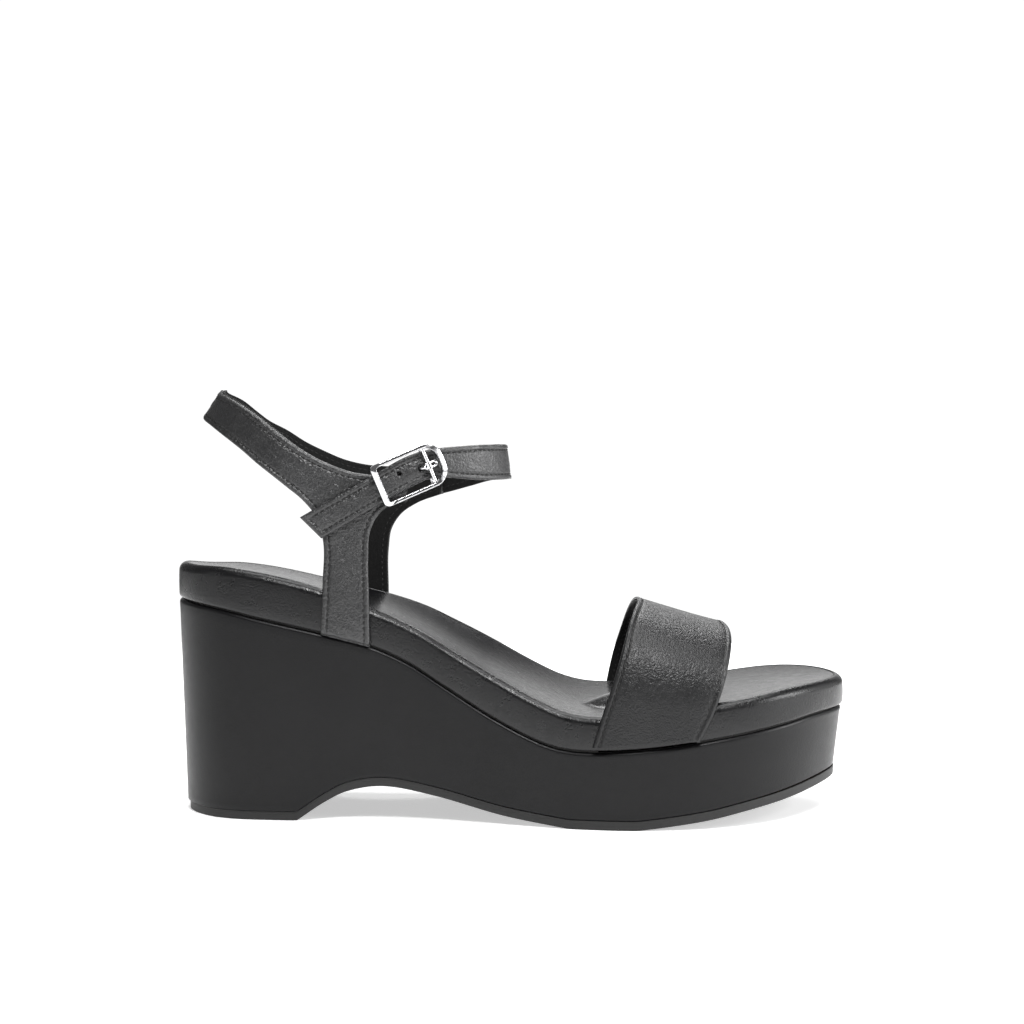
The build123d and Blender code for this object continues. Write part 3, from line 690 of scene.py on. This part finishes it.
def sweep(name, profile, material, replaces):
    """Closed ring round the footbed's edge. profile gives its section as a closed row of
    (inset, z), each a number or one for every column."""
    rows = profile(EDGE[:, 0])
    verts = []
    for inset, z in rows:
        at = EDGE + EDGE_IN * np.broadcast_to(inset, len(EDGE))[:, None]
        verts.append(np.stack([at[:, 0], at[:, 1] + SIDE, z], 1))
    shape = np.concatenate(verts), grid_faces(len(rows), len(EDGE), True)
    make_object(name, shape, "sandal", material, replaces)


SHOULDER = 3.2             # radius of the band's rolled top edge
SEAM_IN = 3.25             # where the band meets the top leather


def band_profile(x):
    """Band: tucked into the groove, up the wall, over the rolled edge and down its back."""
    groove = height(GROOVE_LINE, x)
    at = EDGE + EDGE_IN * SEAM_IN
    top = footbed_height(at[:, 0], at[:, 1]) + 0.15
    rows = [(4.6, groove + 0.06), (1.0, groove + 0.34), (0.42, groove + 0.48),
            (0.12, groove + 0.9), (0.0, groove + 1.6)]
    for share in (0.25, 0.5, 0.75):
        z = groove + 1.6 + (top - SHOULDER - groove - 1.6) * share
        rows.append((-0.10 * math.sin(share * math.pi), z))
    for angle in np.radians(np.linspace(0, 84, 12)):
        rows.append((SHOULDER * (1 - math.cos(angle)), top - SHOULDER * (1 - math.sin(angle))))
    rows += [(3.12, top - 0.12), (SEAM_IN, top - 0.5), (SEAM_IN + 0.05, top - 1.4),
             (SEAM_IN, groove + 1.4)]
    return rows


COVER = 1.3                # how thick the wedge's cover is made here
TOP_ROUND = 1.5            # radius of its upper edge


def wedge_profile(x):
    """Cover: up the leaning wall, rounded into the groove, and down its back."""
    groove = height(GROOVE_LINE, x)
    low = ground(x) + OUTSOLE + 0.05
    high = groove - 0.3

    def wall(z):
        return height(WEDGE_INSET, x) + height(DRAFT, x) * (groove - z)
    rows = [(wall(low) + COVER, low), (wall(low) + 0.35, low), (wall(low + 0.3), low + 0.3)]
    for share in np.linspace(0.03, 0.95, 26):
        z = low + (high - TOP_ROUND - low) * share
        rows.append((wall(z), z))
    for angle in np.radians(np.linspace(0, 85, 9)):
        z = high - TOP_ROUND * (1 - math.sin(angle))
        rows.append((wall(high) + TOP_ROUND * (1 - math.cos(angle)), z))
    rows += [(3.4, high), (4.6, high + 0.28), (4.6, high - 1.3),
             (wall(high - 3) + COVER, high - 3.0)]
    for share in (0.75, 0.5, 0.25):
        z = low + (high - low) * share
        rows.append((wall(z) + COVER, z))
    return rows


def outsole_loop():
    """Outline of the outsole, under the foot of the wedge's walls."""
    x = EDGE[:, 0]
    wall = height(GROOVE_LINE, x) - ground(x) - OUTSOLE
    inset = height(WEDGE_INSET, x) + height(DRAFT, x) * wall + height(OUTSOLE_INSET, x) - 0.1
    return EDGE + EDGE_IN * inset[:, None]


def sole_place(uv, off):
    return np.stack([uv[:, 0], uv[:, 1] + SIDE, ground(uv[:, 0]) + off], 1)


def make_outsole():
    loop = outsole_loop()
    loop = np.concatenate([loop, loop[:1]])
    ys = loop[np.abs(loop[:, 0] - HEEL_FRONT) < 0.6, 1]
    crease = np.stack([np.full(12, HEEL_FRONT),
                       np.linspace(ys.min() + 0.8, ys.max() - 0.8, 12)], 1)
    patch = Patch([(loop, "free")], sole_place, 2.4, (0.1, 0.25, 0.5, 1.2), (), [crease])
    d = patch.from_edge
    shape = patch.solid(0.4 * soft_edge(d, 0.4), OUTSOLE - 0.15 * soft_edge(d, 0.5))
    make_object("outsole_rubber", shape, "sandal", RUBBER, ["outsole"], 35)


def top_place(uv, off):
    z = footbed_height(uv[:, 0], uv[:, 1])
    return np.stack([uv[:, 0], uv[:, 1] + SIDE, z + off], 1)


def make_sock():
    loop = EDGE + EDGE_IN * (SEAM_IN - 0.1)
    loop = np.concatenate([loop, loop[:1]])
    patch = Patch([(loop, "free")], top_place, 2.0, (0.15, 0.4, 0.8, 1.4, 2.2))
    d = patch.from_edge
    shape = patch.solid(np.full_like(d, -1.1), -0.55 * soft_edge(d, 1.0))
    obj = make_object("sock_leather", shape, "sandal", SOCK, ["sock_cover"])


# ---- stitches
def stitch_shape():
    """One stitch along x: a short thread that dips at both ends."""
    rings, around = 7, 6
    verts = []
    for i in range(rings):
        t = i / (rings - 1) * 2 - 1
        swell = math.sqrt(max(0.02, 1 - t * t * 0.98))
        for k in range(around):
            angle = 2 * math.pi * k / around
            verts.append((t * 0.92, 0.24 * swell * math.cos(angle),
                          0.2 * swell * math.sin(angle) - 0.16 * t * t))
    return np.array(verts), bar_faces(rings, around)


STITCH = stitch_shape()
STITCH_PITCH = 2.25


def stitch_row(patch, path, offset, flip):
    """Stitch frames along one edge: (middle, along, out)."""
    path = np.asarray(path)
    along = np.gradient(path, axis=0)
    along /= np.linalg.norm(along, axis=1)[:, None]
    row = path + np.stack([-along[:, 1], along[:, 0]], 1) * STITCH_IN
    free = patch.loop[patch.kinds == "free"]
    row = row[(nearest(row, free) > STITCH_IN * 0.9) & inside(row, patch.loop)]
    if len(row) < 6:
        return []
    flat = np.full(len(row), offset)
    track = np.concatenate([patch.place(row, flat), row], 1)
    length = np.concatenate([[0], np.cumsum(
        np.linalg.norm(np.diff(track[:, :3], axis=0), axis=1))])
    frames = []
    for s in np.arange(1.2, length[-1] - 1.0, STITCH_PITCH):
        uv = np.array([[np.interp(s + by, length, track[:, k]) for k in (3, 4)]
                       for by in (-0.9, 0, 0.9)])
        here = patch.place(uv, np.full(3, offset))
        out = patch.place(uv[1:2], np.full(1, offset + 1.0))[0] - here[1]
        frames.append((here[1], here[2] - here[0], out * flip))
    return frames


def stitch_edges(patch, paths, upper, lower):
    """Stitch frames along several edges, on both faces of a leather."""
    frames = []
    for path in paths:
        frames += stitch_row(patch, path, upper, 1) + stitch_row(patch, path, lower, -1)
    return frames


def make_stitches(name, frames, body):
    """One thread for every frame, each turned a little by chance."""
    verts, faces = [], []
    shape, polygons = STITCH
    for middle, along, out in frames:
        x = along / np.linalg.norm(along)
        z = out - x * np.dot(out, x)
        z /= np.linalg.norm(z)
        y = np.cross(z, x)
        slant = random.uniform(-0.06, 0.06)
        x, y = x + y * slant, y - x * slant
        base = len(verts)
        verts += list(middle + shape[:, :1] * x + shape[:, 1:2] * y + shape[:, 2:] * z)
        faces += [tuple(base + i for i in f) for f in polygons]
    return make_object(name, (np.array(verts), faces), body, THREAD)


# ---- ankle leathers
QUARTER_OFF, STRAP_OFF = 2.1, 4.3
STEP = 0.55                # spacing of points along an outline


def seam_path(z_from, z_to, end):
    """The heel or front line between two heights, with points bunched near its ends."""
    span = abs(z_to - z_from)
    near = [d for d in (0,) + RINGS if d < span / 2]
    middle = np.linspace(near[-1], span - near[-1], max(3, int(span / 1.1)))[1:-1]
    at = np.array(near + list(middle) + [span - d for d in reversed(near)])
    z = z_from + np.sign(z_to - z_from) * at
    return np.stack([end_line(z, end), z], 1)


HEEL_Z_TOP, HEEL_Z_LOW = 158.3, 148.9
TOP_OUTER = [(-105, 155), (-99, 151.9), (-93.2, 148.2), (-85.4, 142.5), (-77.4, 136.8),
             (-66.8, 131.2), (-59, 128.4), (-48, 126.8), (-38, 126.6)]
FRONT_OUTER = [(-38, 117.4), (-44, 116.0), (-48.5, 112.2), (-51.2, 106.5), (-51.9, 98),
               (-51.7, 84), (-51.4, 64.6)]
REAR_HEEL = [(-76.1, 118.1), (-81.8, 122.6), (-87.2, 126.7), (-92.7, 130.8), (-99.3, 136.1),
             (-106.3, 141.0), (-112.2, 144.9)]
REAR_OUTER = [(-69.4, 69.2), (-68.9, 77), (-68.5, 88), (-68.5, 104), (-70.8, 111.6)] + REAR_HEEL
TOP_INNER = [(-105, 154.3), (-100, 150.0), (-96.3, 147.1), (-89, 143.2), (-81.5, 138.5),
             (-74, 134.9), (-66.3, 131.7), (-58.5, 129.8), (-50, 129), (-38, 129.6),
             (-27, 131.4)]
FRONT_INNER = [(-27, 118.2), (-37.2, 114.4), (-43.4, 110.2), (-47.3, 104.3), (-48.5, 97),
               (-48.7, 80), (-48.7, 63.8)]
REAR_INNER = [(-65.8, 68.6), (-65.3, 85), (-65.6, 103), (-69, 111.2)] + REAR_HEEL


def with_heel(points, z, first):
    """Edge in (u, z) that runs square into the heel line at height z."""
    u = end_line(np.array([z]), 0)[0]
    heel = [[u, z], [u + 1.5, z - (0.4 if first else 0.6)]]
    uv = ankle_uv(points, QUARTER_OFF)
    return smooth_path(np.concatenate([heel, uv] if first else [uv, heel[::-1]]), STEP)


def quarter_half(side):
    """Patch of one half of the quarter. Outline order is anticlockwise in (u, z)."""
    tops, fronts, rears = ((TOP_OUTER, FRONT_OUTER, REAR_OUTER) if side < 0
                           else (TOP_INNER, FRONT_INNER, REAR_INNER))
    top = with_heel(tops, HEEL_Z_TOP, True)[::-1]
    rear = with_heel(rears, HEEL_Z_LOW, False)[::-1]
    front = smooth_path(ankle_uv(fronts, QUARTER_OFF), STEP)[::-1]
    seam = seam_path(HEEL_Z_TOP, HEEL_Z_LOW, 0)
    end = resample(np.array([front[-1], top[0]]), 0.8)
    foot = resample(np.array([rear[-1], front[0]]), 0.8)
    paths = [(seam, "seam"), (rear, "free"), (foot, "hidden"), (front, "free"),
             (end, "hidden"), (top, "free")]
    return Patch(paths, ankle_place(side), turned=side > 0), (rear, front, top)


def declare_sheet(obj, patches):
    """Works out the width and length of a leather's patches; it declares nothing and keeps
    nothing.
    """
    wide = max(np.ptp(patch.loop[:, 1]) for patch in patches) * MM
    long = sum(np.ptp(patch.loop[:, 0]) for patch in patches) * MM
    for patch in patches:
        for a, b, c in patch.faces:
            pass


def seam_flags(patch, end):
    return np.abs(patch.uv[:, 0] - end_line(patch.uv[:, 1], end)) < 1e-3


def wrinkles(points, depth):
    """Soft slanting creases in a leather, as offsets."""
    x, z = points[:, 0], points[:, 2]
    slant = (x + z) * 0.55
    wave = np.sin(slant * 1.9 + 1.3 * np.sin((x - z) * 0.35)) * np.sin((x - z) * 0.21 + 0.7)
    fine = np.sin(slant * 4.1 + 2.0 * np.sin((x - z) * 0.5)) * 0.4
    return depth * (wave + fine)


def leather_pair(patch, outer, lining, tuck=None, seams=None, swell=0.0, crease=0.0):
    """Solids of an outer leather and its lining, each given as (low, high) offsets."""
    low, high = leather_offsets(patch, *outer, tuck=tuck)
    shell = patch.solid(low + swell * 0.8, high + swell + crease, seams)
    under = None if tuck is None else tuck - 0.4
    low, high = leather_offsets(patch, *lining, stitched=False, fold=0.5, tuck=under)
    return shell, patch.solid(low + swell * 0.8, high + swell * 0.8, seams)


def make_leathers(name, shapes, frames, body, material, parts):
    """An outer leather, its lining and their stitches, for the CAD parts named."""
    outer = make_object(name + "_leather", shapes[0], body, material,
                        [part + "_outer" for part in parts])
    lining = make_object(name + "_lining_leather", shapes[1], body, LINING,
                         [part + "_lining" for part in parts])
    return outer, lining, make_stitches(name + "_stitches", frames, body)


def make_quarter():
    """Back strap with a leg on each side, joined at the heel line."""
    halves, frames = [], []
    for side in (-1, 1):
        patch, edges = quarter_half(side)
        above = patch.base[:, 2] - height(GROOVE_LINE, patch.base[:, 0])
        crease = wrinkles(patch.base, 0.13) * np.clip((patch.from_edge - 2.5) / 2, 0, 1)
        halves.append(leather_pair(patch, (1.0, QUARTER_OFF), (0.0, 0.92), above,
                                   seam_flags(patch, 0), crease=crease))
        frames += stitch_edges(patch, edges, QUARTER_OFF - 0.12, 0.05)
    make_leathers("quarter", [join_halves(parts) for parts in zip(*halves)], frames, "sandal",
                  UPPER, ["quarter"])


FRONT_Z_TOP, FRONT_Z_LOW = 137.9, 124.8
STRAP_TOP = [(-12, 137.75), (-17, 137.4), (-25.5, 136.7), (-32, 135.6), (-38.6, 133.2),
             (-45.5, 129.5), (-51.7, 126.0), (-63.5, 119.3), (-76.6, 111.8)]
STRAP_LOW = [(-68.7, 104.2), (-57, 110.95), (-46.6, 116.9), (-40.9, 120.1), (-34.4, 123.6),
             (-30.5, 125.3), (-26.7, 126.0), (-20, 125.6), (-12, 124.9)]
STRAP_INNER_TOP = [(-10, 137.0), (-16, 135.0), (-27, 131.5), (-38, 128.6)]
STRAP_INNER_LOW = [(-38, 115.6), (-26, 118.5), (-15, 121.6), (-9, 123.4)]


def strap_half(side):
    """Patch of one half of the ankle strap; the outer half runs on to the free end."""
    tops, lows = (STRAP_TOP, STRAP_LOW) if side < 0 else (STRAP_INNER_TOP, STRAP_INNER_LOW)
    front_top, front_low = end_line(np.array([FRONT_Z_TOP, FRONT_Z_LOW]), -1)
    top_uv = np.concatenate([[[front_top, FRONT_Z_TOP], [front_top - 3, FRONT_Z_TOP]],
                             ankle_uv(tops, STRAP_OFF)])
    low_uv = np.concatenate([ankle_uv(lows, STRAP_OFF),
                             [[front_low - 3, FRONT_Z_LOW], [front_low, FRONT_Z_LOW]]])
    top = smooth_path(top_uv, STEP)
    low = smooth_path(low_uv, STEP)
    tip = resample(np.array([top[-1], low[0]]), STEP)
    seam = seam_path(FRONT_Z_LOW, FRONT_Z_TOP, -1)
    paths = [(top, "free"), (tip, "free"), (low, "free"), (seam, "seam")]
    holes = ()
    if side < 0:
        holes = [(tuple(ankle_uv([HOLE_PRONG], STRAP_OFF)[0]), 1.0),
                 (tuple(ankle_uv([HOLE_SPARE], STRAP_OFF)[0]), 0.9)]
    patch = Patch(paths, ankle_place(side), 1.0, RINGS, holes, turned=side > 0)
    return patch, (top, tip, low)


# ---- buckle's own frame
def joint_place(name):
    joint = joints[name]
    return np.array(joint["pos_m"]) / MM, np.array(joint["axis"])


low_bar_at, across_strap = joint_place("buckle_rock")
bar_at, _ = joint_place("prong_lift")
out_of_strap = (bar_at - low_bar_at) / np.linalg.norm(bar_at - low_bar_at)
along_strap = np.cross(across_strap, out_of_strap)
FRAME_LENGTH, FRAME_WIDTH = 26.8, 16.0
BAR_FROM_MIDDLE = 7.3
BAR_W = 1.775              # centre bar's axis above the strap's outer face
buckle_origin = bar_at - out_of_strap * BAR_W - along_strap * BAR_FROM_MIDDLE


def buckle_point(points):
    """Points of the buckle's own frame: along the strap, across it, out of it."""
    points = np.asarray(points, float)
    return (buckle_origin + points[:, :1] * along_strap + points[:, 1:2] * across_strap
            + points[:, 2:3] * out_of_strap)


def side_view(point):
    at = buckle_point(np.array([point]))[0]
    return at[0], at[2]


HOLE_PRONG = side_view((BAR_FROM_MIDDLE - 2.9, 0, 0))
HOLE_SPARE = side_view((-3.6, 1.4, 0))


def make_strap():
    """Ankle strap, joined at the front line, with a free end that bends past the buckle."""
    halves, frames, patches = [], [], []
    for side in (-1, 1):
        patch, edges = strap_half(side)
        patches.append(patch)
        local = patch.base - buckle_origin
        u, v = local @ along_strap, local @ across_strap
        swell = 0.75 * np.exp(-((u - 1.5) / 3.6) ** 2 - (v / 3.4) ** 2)
        swell = swell * (patch.base[:, 1] < 0)
        crease = wrinkles(patch.base, 0.12) * np.clip((patch.from_edge - 2.4) / 1.5, 0, 1)
        halves.append(leather_pair(patch, (3.4, STRAP_OFF), (2.5, 3.35), None,
                                   seam_flags(patch, -1), swell, crease))
        frames += stitch_edges(patch, edges, STRAP_OFF - 0.12, 2.55)
    pieces = make_leathers("ankle_strap", [join_halves(parts) for parts in zip(*halves)],
                           frames, None, UPPER, ["ankle_strap", "strap_tail"])
    for obj in pieces:
        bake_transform(obj)
    for obj in pieces[:2]:
        declare_sheet(obj, patches)


# ---- vamp
VAMP_REAR = [(28.6, 30.0, -1), (32.3, 42.0, -1), (36.4, 55.0, -1), (40.4, 68.0, -1),
             (47.6, 79.9, 0), (43.8, 66.0, 1), (40.5, 54.0, 1), (38.0, 42.0, 1),
             (36.4, 31.0, 1)]
VAMP_FRONT = [(66.9, 32.2, -1), (71.8, 42.0, -1), (76.2, 54.0, -1), (79.4, 64.0, -1),
              (81.4, 70.6, 0), (80.2, 64.0, 1), (78.8, 54.0, 1), (77.2, 42.0, 1),
              (76.0, 33.4, 1)]


def vamp_edge(points):
    """Edge in (u, x); a side of 0 is the crown."""
    uv = [(0.0 if side == 0 else forefoot_u(x, z, side), x) for x, z, side in points]
    return smooth_path(uv, STEP * 1.2)


def make_vamp():
    rear, front = vamp_edge(VAMP_REAR), vamp_edge(VAMP_FRONT)
    inner_foot = resample(np.array([rear[-1], front[-1]]), 0.9)
    outer_foot = resample(np.array([front[0], rear[0]]), 0.9)
    paths = [(rear, "free"), (inner_foot, "hidden"), (front[::-1], "free"),
             (outer_foot, "hidden")]
    patch = Patch(paths, forefoot_place, 1.3, turned=True)
    above = patch.base[:, 2] - height(GROOVE_LINE, patch.base[:, 0])
    pair = leather_pair(patch, (-0.95, 0.0), (-1.8, -1.0), above)
    frames = stitch_edges(patch, (rear, front[::-1]), -0.12, -1.78)
    for obj in make_leathers("vamp", pair, frames, "sandal", VAMP, ["vamp"])[:2]:
        declare_sheet(obj, [patch])


# ---- buckle
def corner_arcs(corners, steps):
    """Points round a loop's corners, given as (x, y, radius along x, along y, start)."""
    points = []
    for x, y, x_radius, y_radius, start in corners:
        for angle in np.radians(np.linspace(start, start + 90, steps)):
            points.append((x + x_radius * math.cos(angle), y + y_radius * math.sin(angle)))
    return points


def rounded_loop(left, right, side, back_r, front_r, bulge, count=160):
    """Outline, anticlockwise: corners at the back, others at the front, a bowed front."""
    back, front = left + back_r, right - front_r
    points = corner_arcs([(back, -side + back_r, back_r, back_r, 180),
                          (front, -side + front_r, front_r, front_r, 270),
                          (front, side - front_r, front_r, front_r, 0),
                          (back, side - back_r, back_r, back_r, 90)], 14)
    dense = resample(points + points[:1], 0.2)
    bow = bulge * np.clip(1 - (dense[:, 1] / side) ** 2, 0, 1)
    dense[:, 0] += bow * np.clip((dense[:, 0] - front) / front_r, 0, 1)
    length = np.concatenate([[0], np.cumsum(np.hypot(*np.diff(dense, axis=0).T))])
    at = np.linspace(0, length[-1], count + 1)[:-1]
    return np.stack([np.interp(at, length, dense[:, k]) for k in (0, 1)], 1)


def flat_section(corner, corner_up):
    """Section of a ring with flat faces and small rounded corners."""
    return corner_arcs([(side * (1 - corner), up * (1 - corner_up), corner, corner_up, start)
                        for side, up, start in ((1, -1, -90), (1, 1, 0), (-1, 1, 90),
                                                (-1, -1, 180))], 6)


def round_section(steps, power):
    """Section of a ring, between an ellipse (power 2) and a rectangle."""
    section = []
    for k in range(steps):
        angle = 2 * math.pi * k / steps
        c, s = math.cos(angle), math.sin(angle)
        section.append((math.copysign(abs(c) ** (2 / power), c),
                        math.copysign(abs(s) ** (2 / power), s)))
    return section


def ring(outer, inner, low, high, section, slope=0.0):
    """Ring between two loops. slope lowers the outer side of its upper face."""
    rows = []
    for side, up in section:
        share = (1 + side) / 2
        loop = inner + (outer - inner) * share
        w = (low + high) / 2 + (high - low) / 2 * up - slope * share * max(0.0, up)
        rows.append(np.column_stack([loop, np.broadcast_to(w, len(loop))]))
    return np.concatenate(rows), grid_faces(len(rows), len(outer), True)


def tube(path, radii, steps=14):
    """Closed round bar along a path, with flat ends."""
    path = np.asarray(path, float)
    radii = np.broadcast_to(np.asarray(radii, float), (len(path),))
    along = np.gradient(path, axis=0)
    along /= np.linalg.norm(along, axis=1)[:, None]
    helper = np.array([0.0, 0.0, 1.0]) if abs(along[0][2]) < 0.9 else np.array([1.0, 0, 0])
    verts = []
    for p, t, r in zip(path, along, radii):
        x = np.cross(t, helper)
        x /= np.linalg.norm(x)
        y = np.cross(t, x)
        for k in range(steps):
            a = 2 * math.pi * k / steps
            verts.append(p + r * (x * math.cos(a) + y * math.sin(a)))
    return np.array(verts), bar_faces(len(path), steps)


def combine(parts):
    """Several shapes as one."""
    verts, faces = [], []
    for points, polygons in parts:
        faces += [tuple(len(verts) + i for i in f) for f in polygons]
        verts += list(points)
    return np.array(verts), faces


FRAME_LOW, FRAME_HIGH = 0.45, 3.1
LOW_BAR_W = -3.5


def make_buckle():
    """Frame and centre bar over the strap, two posts past its edges, lower bar under it."""
    half, side = FRAME_LENGTH / 2, FRAME_WIDTH / 2
    outer = rounded_loop(-half, half - 1.6, side, 2.0, 4.6, 1.6)
    inner = rounded_loop(-half + 2.0, half - 3.5, side - 1.3, 0.8, 3.4, 1.6)
    # The left bar and the bowed end slope down outward, and the rails between are flat.
    slope = 0.7 * np.clip((-half + 3.2 - outer[:, 0]) / 1.2, 0, 1)
    slope = slope + 0.8 * np.clip((outer[:, 0] - half + 4.0) / 2.0, 0, 1)
    parts = [ring(outer, inner, FRAME_LOW, FRAME_HIGH, flat_section(0.34, 0.24), slope)]
    bar_x, reach = BAR_FROM_MIDDLE, side - 0.7
    span = np.linspace(-reach, reach, 12)
    for w, radius in ((BAR_W, 0.72), (LOW_BAR_W, 0.6)):
        parts.append(tube([(bar_x, y, w) for y in span], radius))
    for sign in (-1, 1):
        drop = np.linspace(BAR_W, LOW_BAR_W - 0.4, 8)
        parts.append(tube([(bar_x, sign * (side - 0.8), w) for w in drop], 0.7))
    verts, faces = combine(parts)
    make_object("buckle_frame_metal", (buckle_point(verts), faces), "buckle",
                METAL, ["buckle_frame"], 40)


def make_prong():
    """Small eye on the centre bar, with a tip that dips into the strap's hole."""
    def loop(left, right, side):
        return rounded_loop(left, right, side, side * 0.98, side * 0.98, 0.0, 60)
    eye = ring(loop(-2.3, 3.2, 1.3), loop(-1.35, 2.3, 0.5), -0.1, 1.05,
               round_section(12, 2.6))
    barrel = tube([(0, y, 0) for y in np.linspace(-1.2, 1.2, 6)], 1.08)
    tip_path = smooth_path([(-1.5, 0, 0.55), (-2.4, 0, 0.45), (-3.05, 0, -0.2),
                            (-3.1, 0, -1.6), (-2.95, 0, -2.9)], 0.2)
    radii = np.interp(np.linspace(0, 1, len(tip_path)), [0, 0.3, 0.8, 1], [0.62, 0.6, 0.5, 0.3])
    verts, faces = combine([eye, barrel, tube(tip_path, radii)])
    verts = verts + np.array([BAR_FROM_MIDDLE, 0, BAR_W])
    make_object("buckle_prong_metal", (buckle_point(verts), faces), "prong",
                METAL, ["buckle_prong"], 60)


# ---- build the sandal
sweep("footbed_band_leather", band_profile, BAND, ["footbed_band"])
sweep("wedge_cover_leather", wedge_profile, WEDGE, ["wedge_cover"])
make_outsole()
make_sock()
make_quarter()
make_strap()
make_vamp()
make_buckle()
make_prong()
# The insole board's near-black colour is painted shade for the gap where it shows; the other
# parts get their own colours.
for node, material in (("wedge_core", CORK), ("insole_board", BOARD_PAINTED_SHADE), ("shank", STEEL),
                       ("shank_rivets", STEEL), ("footbed_foam", FOAM), ("arch_pad", FOAM),
                       ("metatarsal_pad", FOAM), ("buckle_chape", UPPER)):
    paint(nodes[node], material)


# ---- floor, lights, camera
def make_floor():
    """A light table: white, and bright by itself, so shadows stay pale."""
    side, near, far = 1.6, -1.4, 0.55
    mesh = bpy.data.meshes.new("floor")
    mesh.from_pydata([(-side, near, 0), (side, near, 0), (side, far, 0), (-side, far, 0)],
                     [], [(0, 1, 2, 3)])
    material, tree, shader = node_material("floor_white")
    wire(tree, shader, Base_Color=(0.85, 0.85, 0.85, 1), Roughness=0.9,
         Specular_IOR_Level=0.1, Emission_Color=(1, 1, 1, 1), Emission_Strength=0.50)
    mesh.materials.append(material)
    obj = in_scene("floor", mesh)


def area_light(name, place, target, size, power):
    """Soft box at a place, turned to a target."""
    data = bpy.data.lights.new(name, "AREA")
    data.shape = "RECTANGLE"
    data.size, data.size_y = size
    data.energy = power
    obj = in_scene(name, data)
    obj.location = place
    obj.rotation_euler = (Vector(target) - Vector(place)).to_track_quat("-Z", "Y").to_euler()


def fade(tree, source, low, high, at_low, at_high):
    """Brightness that goes smoothly from one level to another between two directions."""
    return add(tree, "MapRange", "Result", interpolation_type="SMOOTHSTEP", Value=source,
               From_Min=low, From_Max=high, To_Min=at_low, To_Max=at_high)


def both(tree, operation, first, second):
    """Two brightnesses as one."""
    node = tree.nodes.new("ShaderNodeMath")
    node.operation = operation
    feed(tree, node.inputs[0], first)
    feed(tree, node.inputs[1], second)
    return node.outputs[0]


ROOM_LIGHT = 0.15


def make_world():
    """A white wall behind, one at the toe's side, and a dim room around."""
    world = bpy.data.worlds.new("studio")
    world.use_nodes = True
    tree = world.node_tree
    split = tree.nodes.new("ShaderNodeSeparateXYZ")
    wire(tree, split, Vector=add(tree, "TexCoord", "Generated"))
    x, y, z = split.outputs
    behind = fade(tree, y, 0.89, 0.932, 0.0, 1.05)
    above = fade(tree, z, 0.24, 0.38, 1.0, 0.15)
    right = fade(tree, x, 0.55, 0.85, 0.0, 0.95)
    left = fade(tree, x, -0.95, -0.5, 0.06, 0.0)
    total = both(tree, "MULTIPLY", behind, above)
    for other in (right, left, ROOM_LIGHT):
        total = both(tree, "MAXIMUM", total, other)
    wire(tree, tree.nodes["Background"], Color=(1, 1, 1, 1), Strength=total)
    bpy.context.scene.world = world


CAMERA_FAR, CAMERA_HIGH, CAMERA_DIP = 717, 144, 2.54


def make_camera():
    """Level with the ankle, looking square at the outer side and slightly down."""
    data = bpy.data.cameras.new("camera")
    data.sensor_width = 36.0
    data.lens = 66.55
    data.clip_start = 0.05
    obj = in_scene("camera", data)
    obj.location = (0.0, (-CAMERA_FAR + SIDE) * MM, CAMERA_HIGH * MM)
    obj.rotation_euler = (math.radians(90 - CAMERA_DIP), 0, 0)
    bpy.context.scene.camera = obj


make_floor()
make_world()
area_light("top_box", (0.05, 0.10, 1.3), (0, 0, 0.05), (1.1, 0.5), 12)
area_light("back_box", (0.15, 1.1, 0.95), (0, 0, 0.08), (0.7, 0.3), 6)
area_light("front_box", (0.15, -0.85, 1.15), (0, 0, 0.12), (0.5, 0.25), 14)
area_light("right_box", (1.2, -0.30, 0.55), (0.05, 0, 0.05), (0.5, 0.7), 11)
area_light("left_box", (-1.2, -0.5, 0.5), (-0.05, 0, 0.08), (0.3, 0.6), 0.6)
make_camera()
bpy.context.scene.view_settings.view_transform = "Standard"
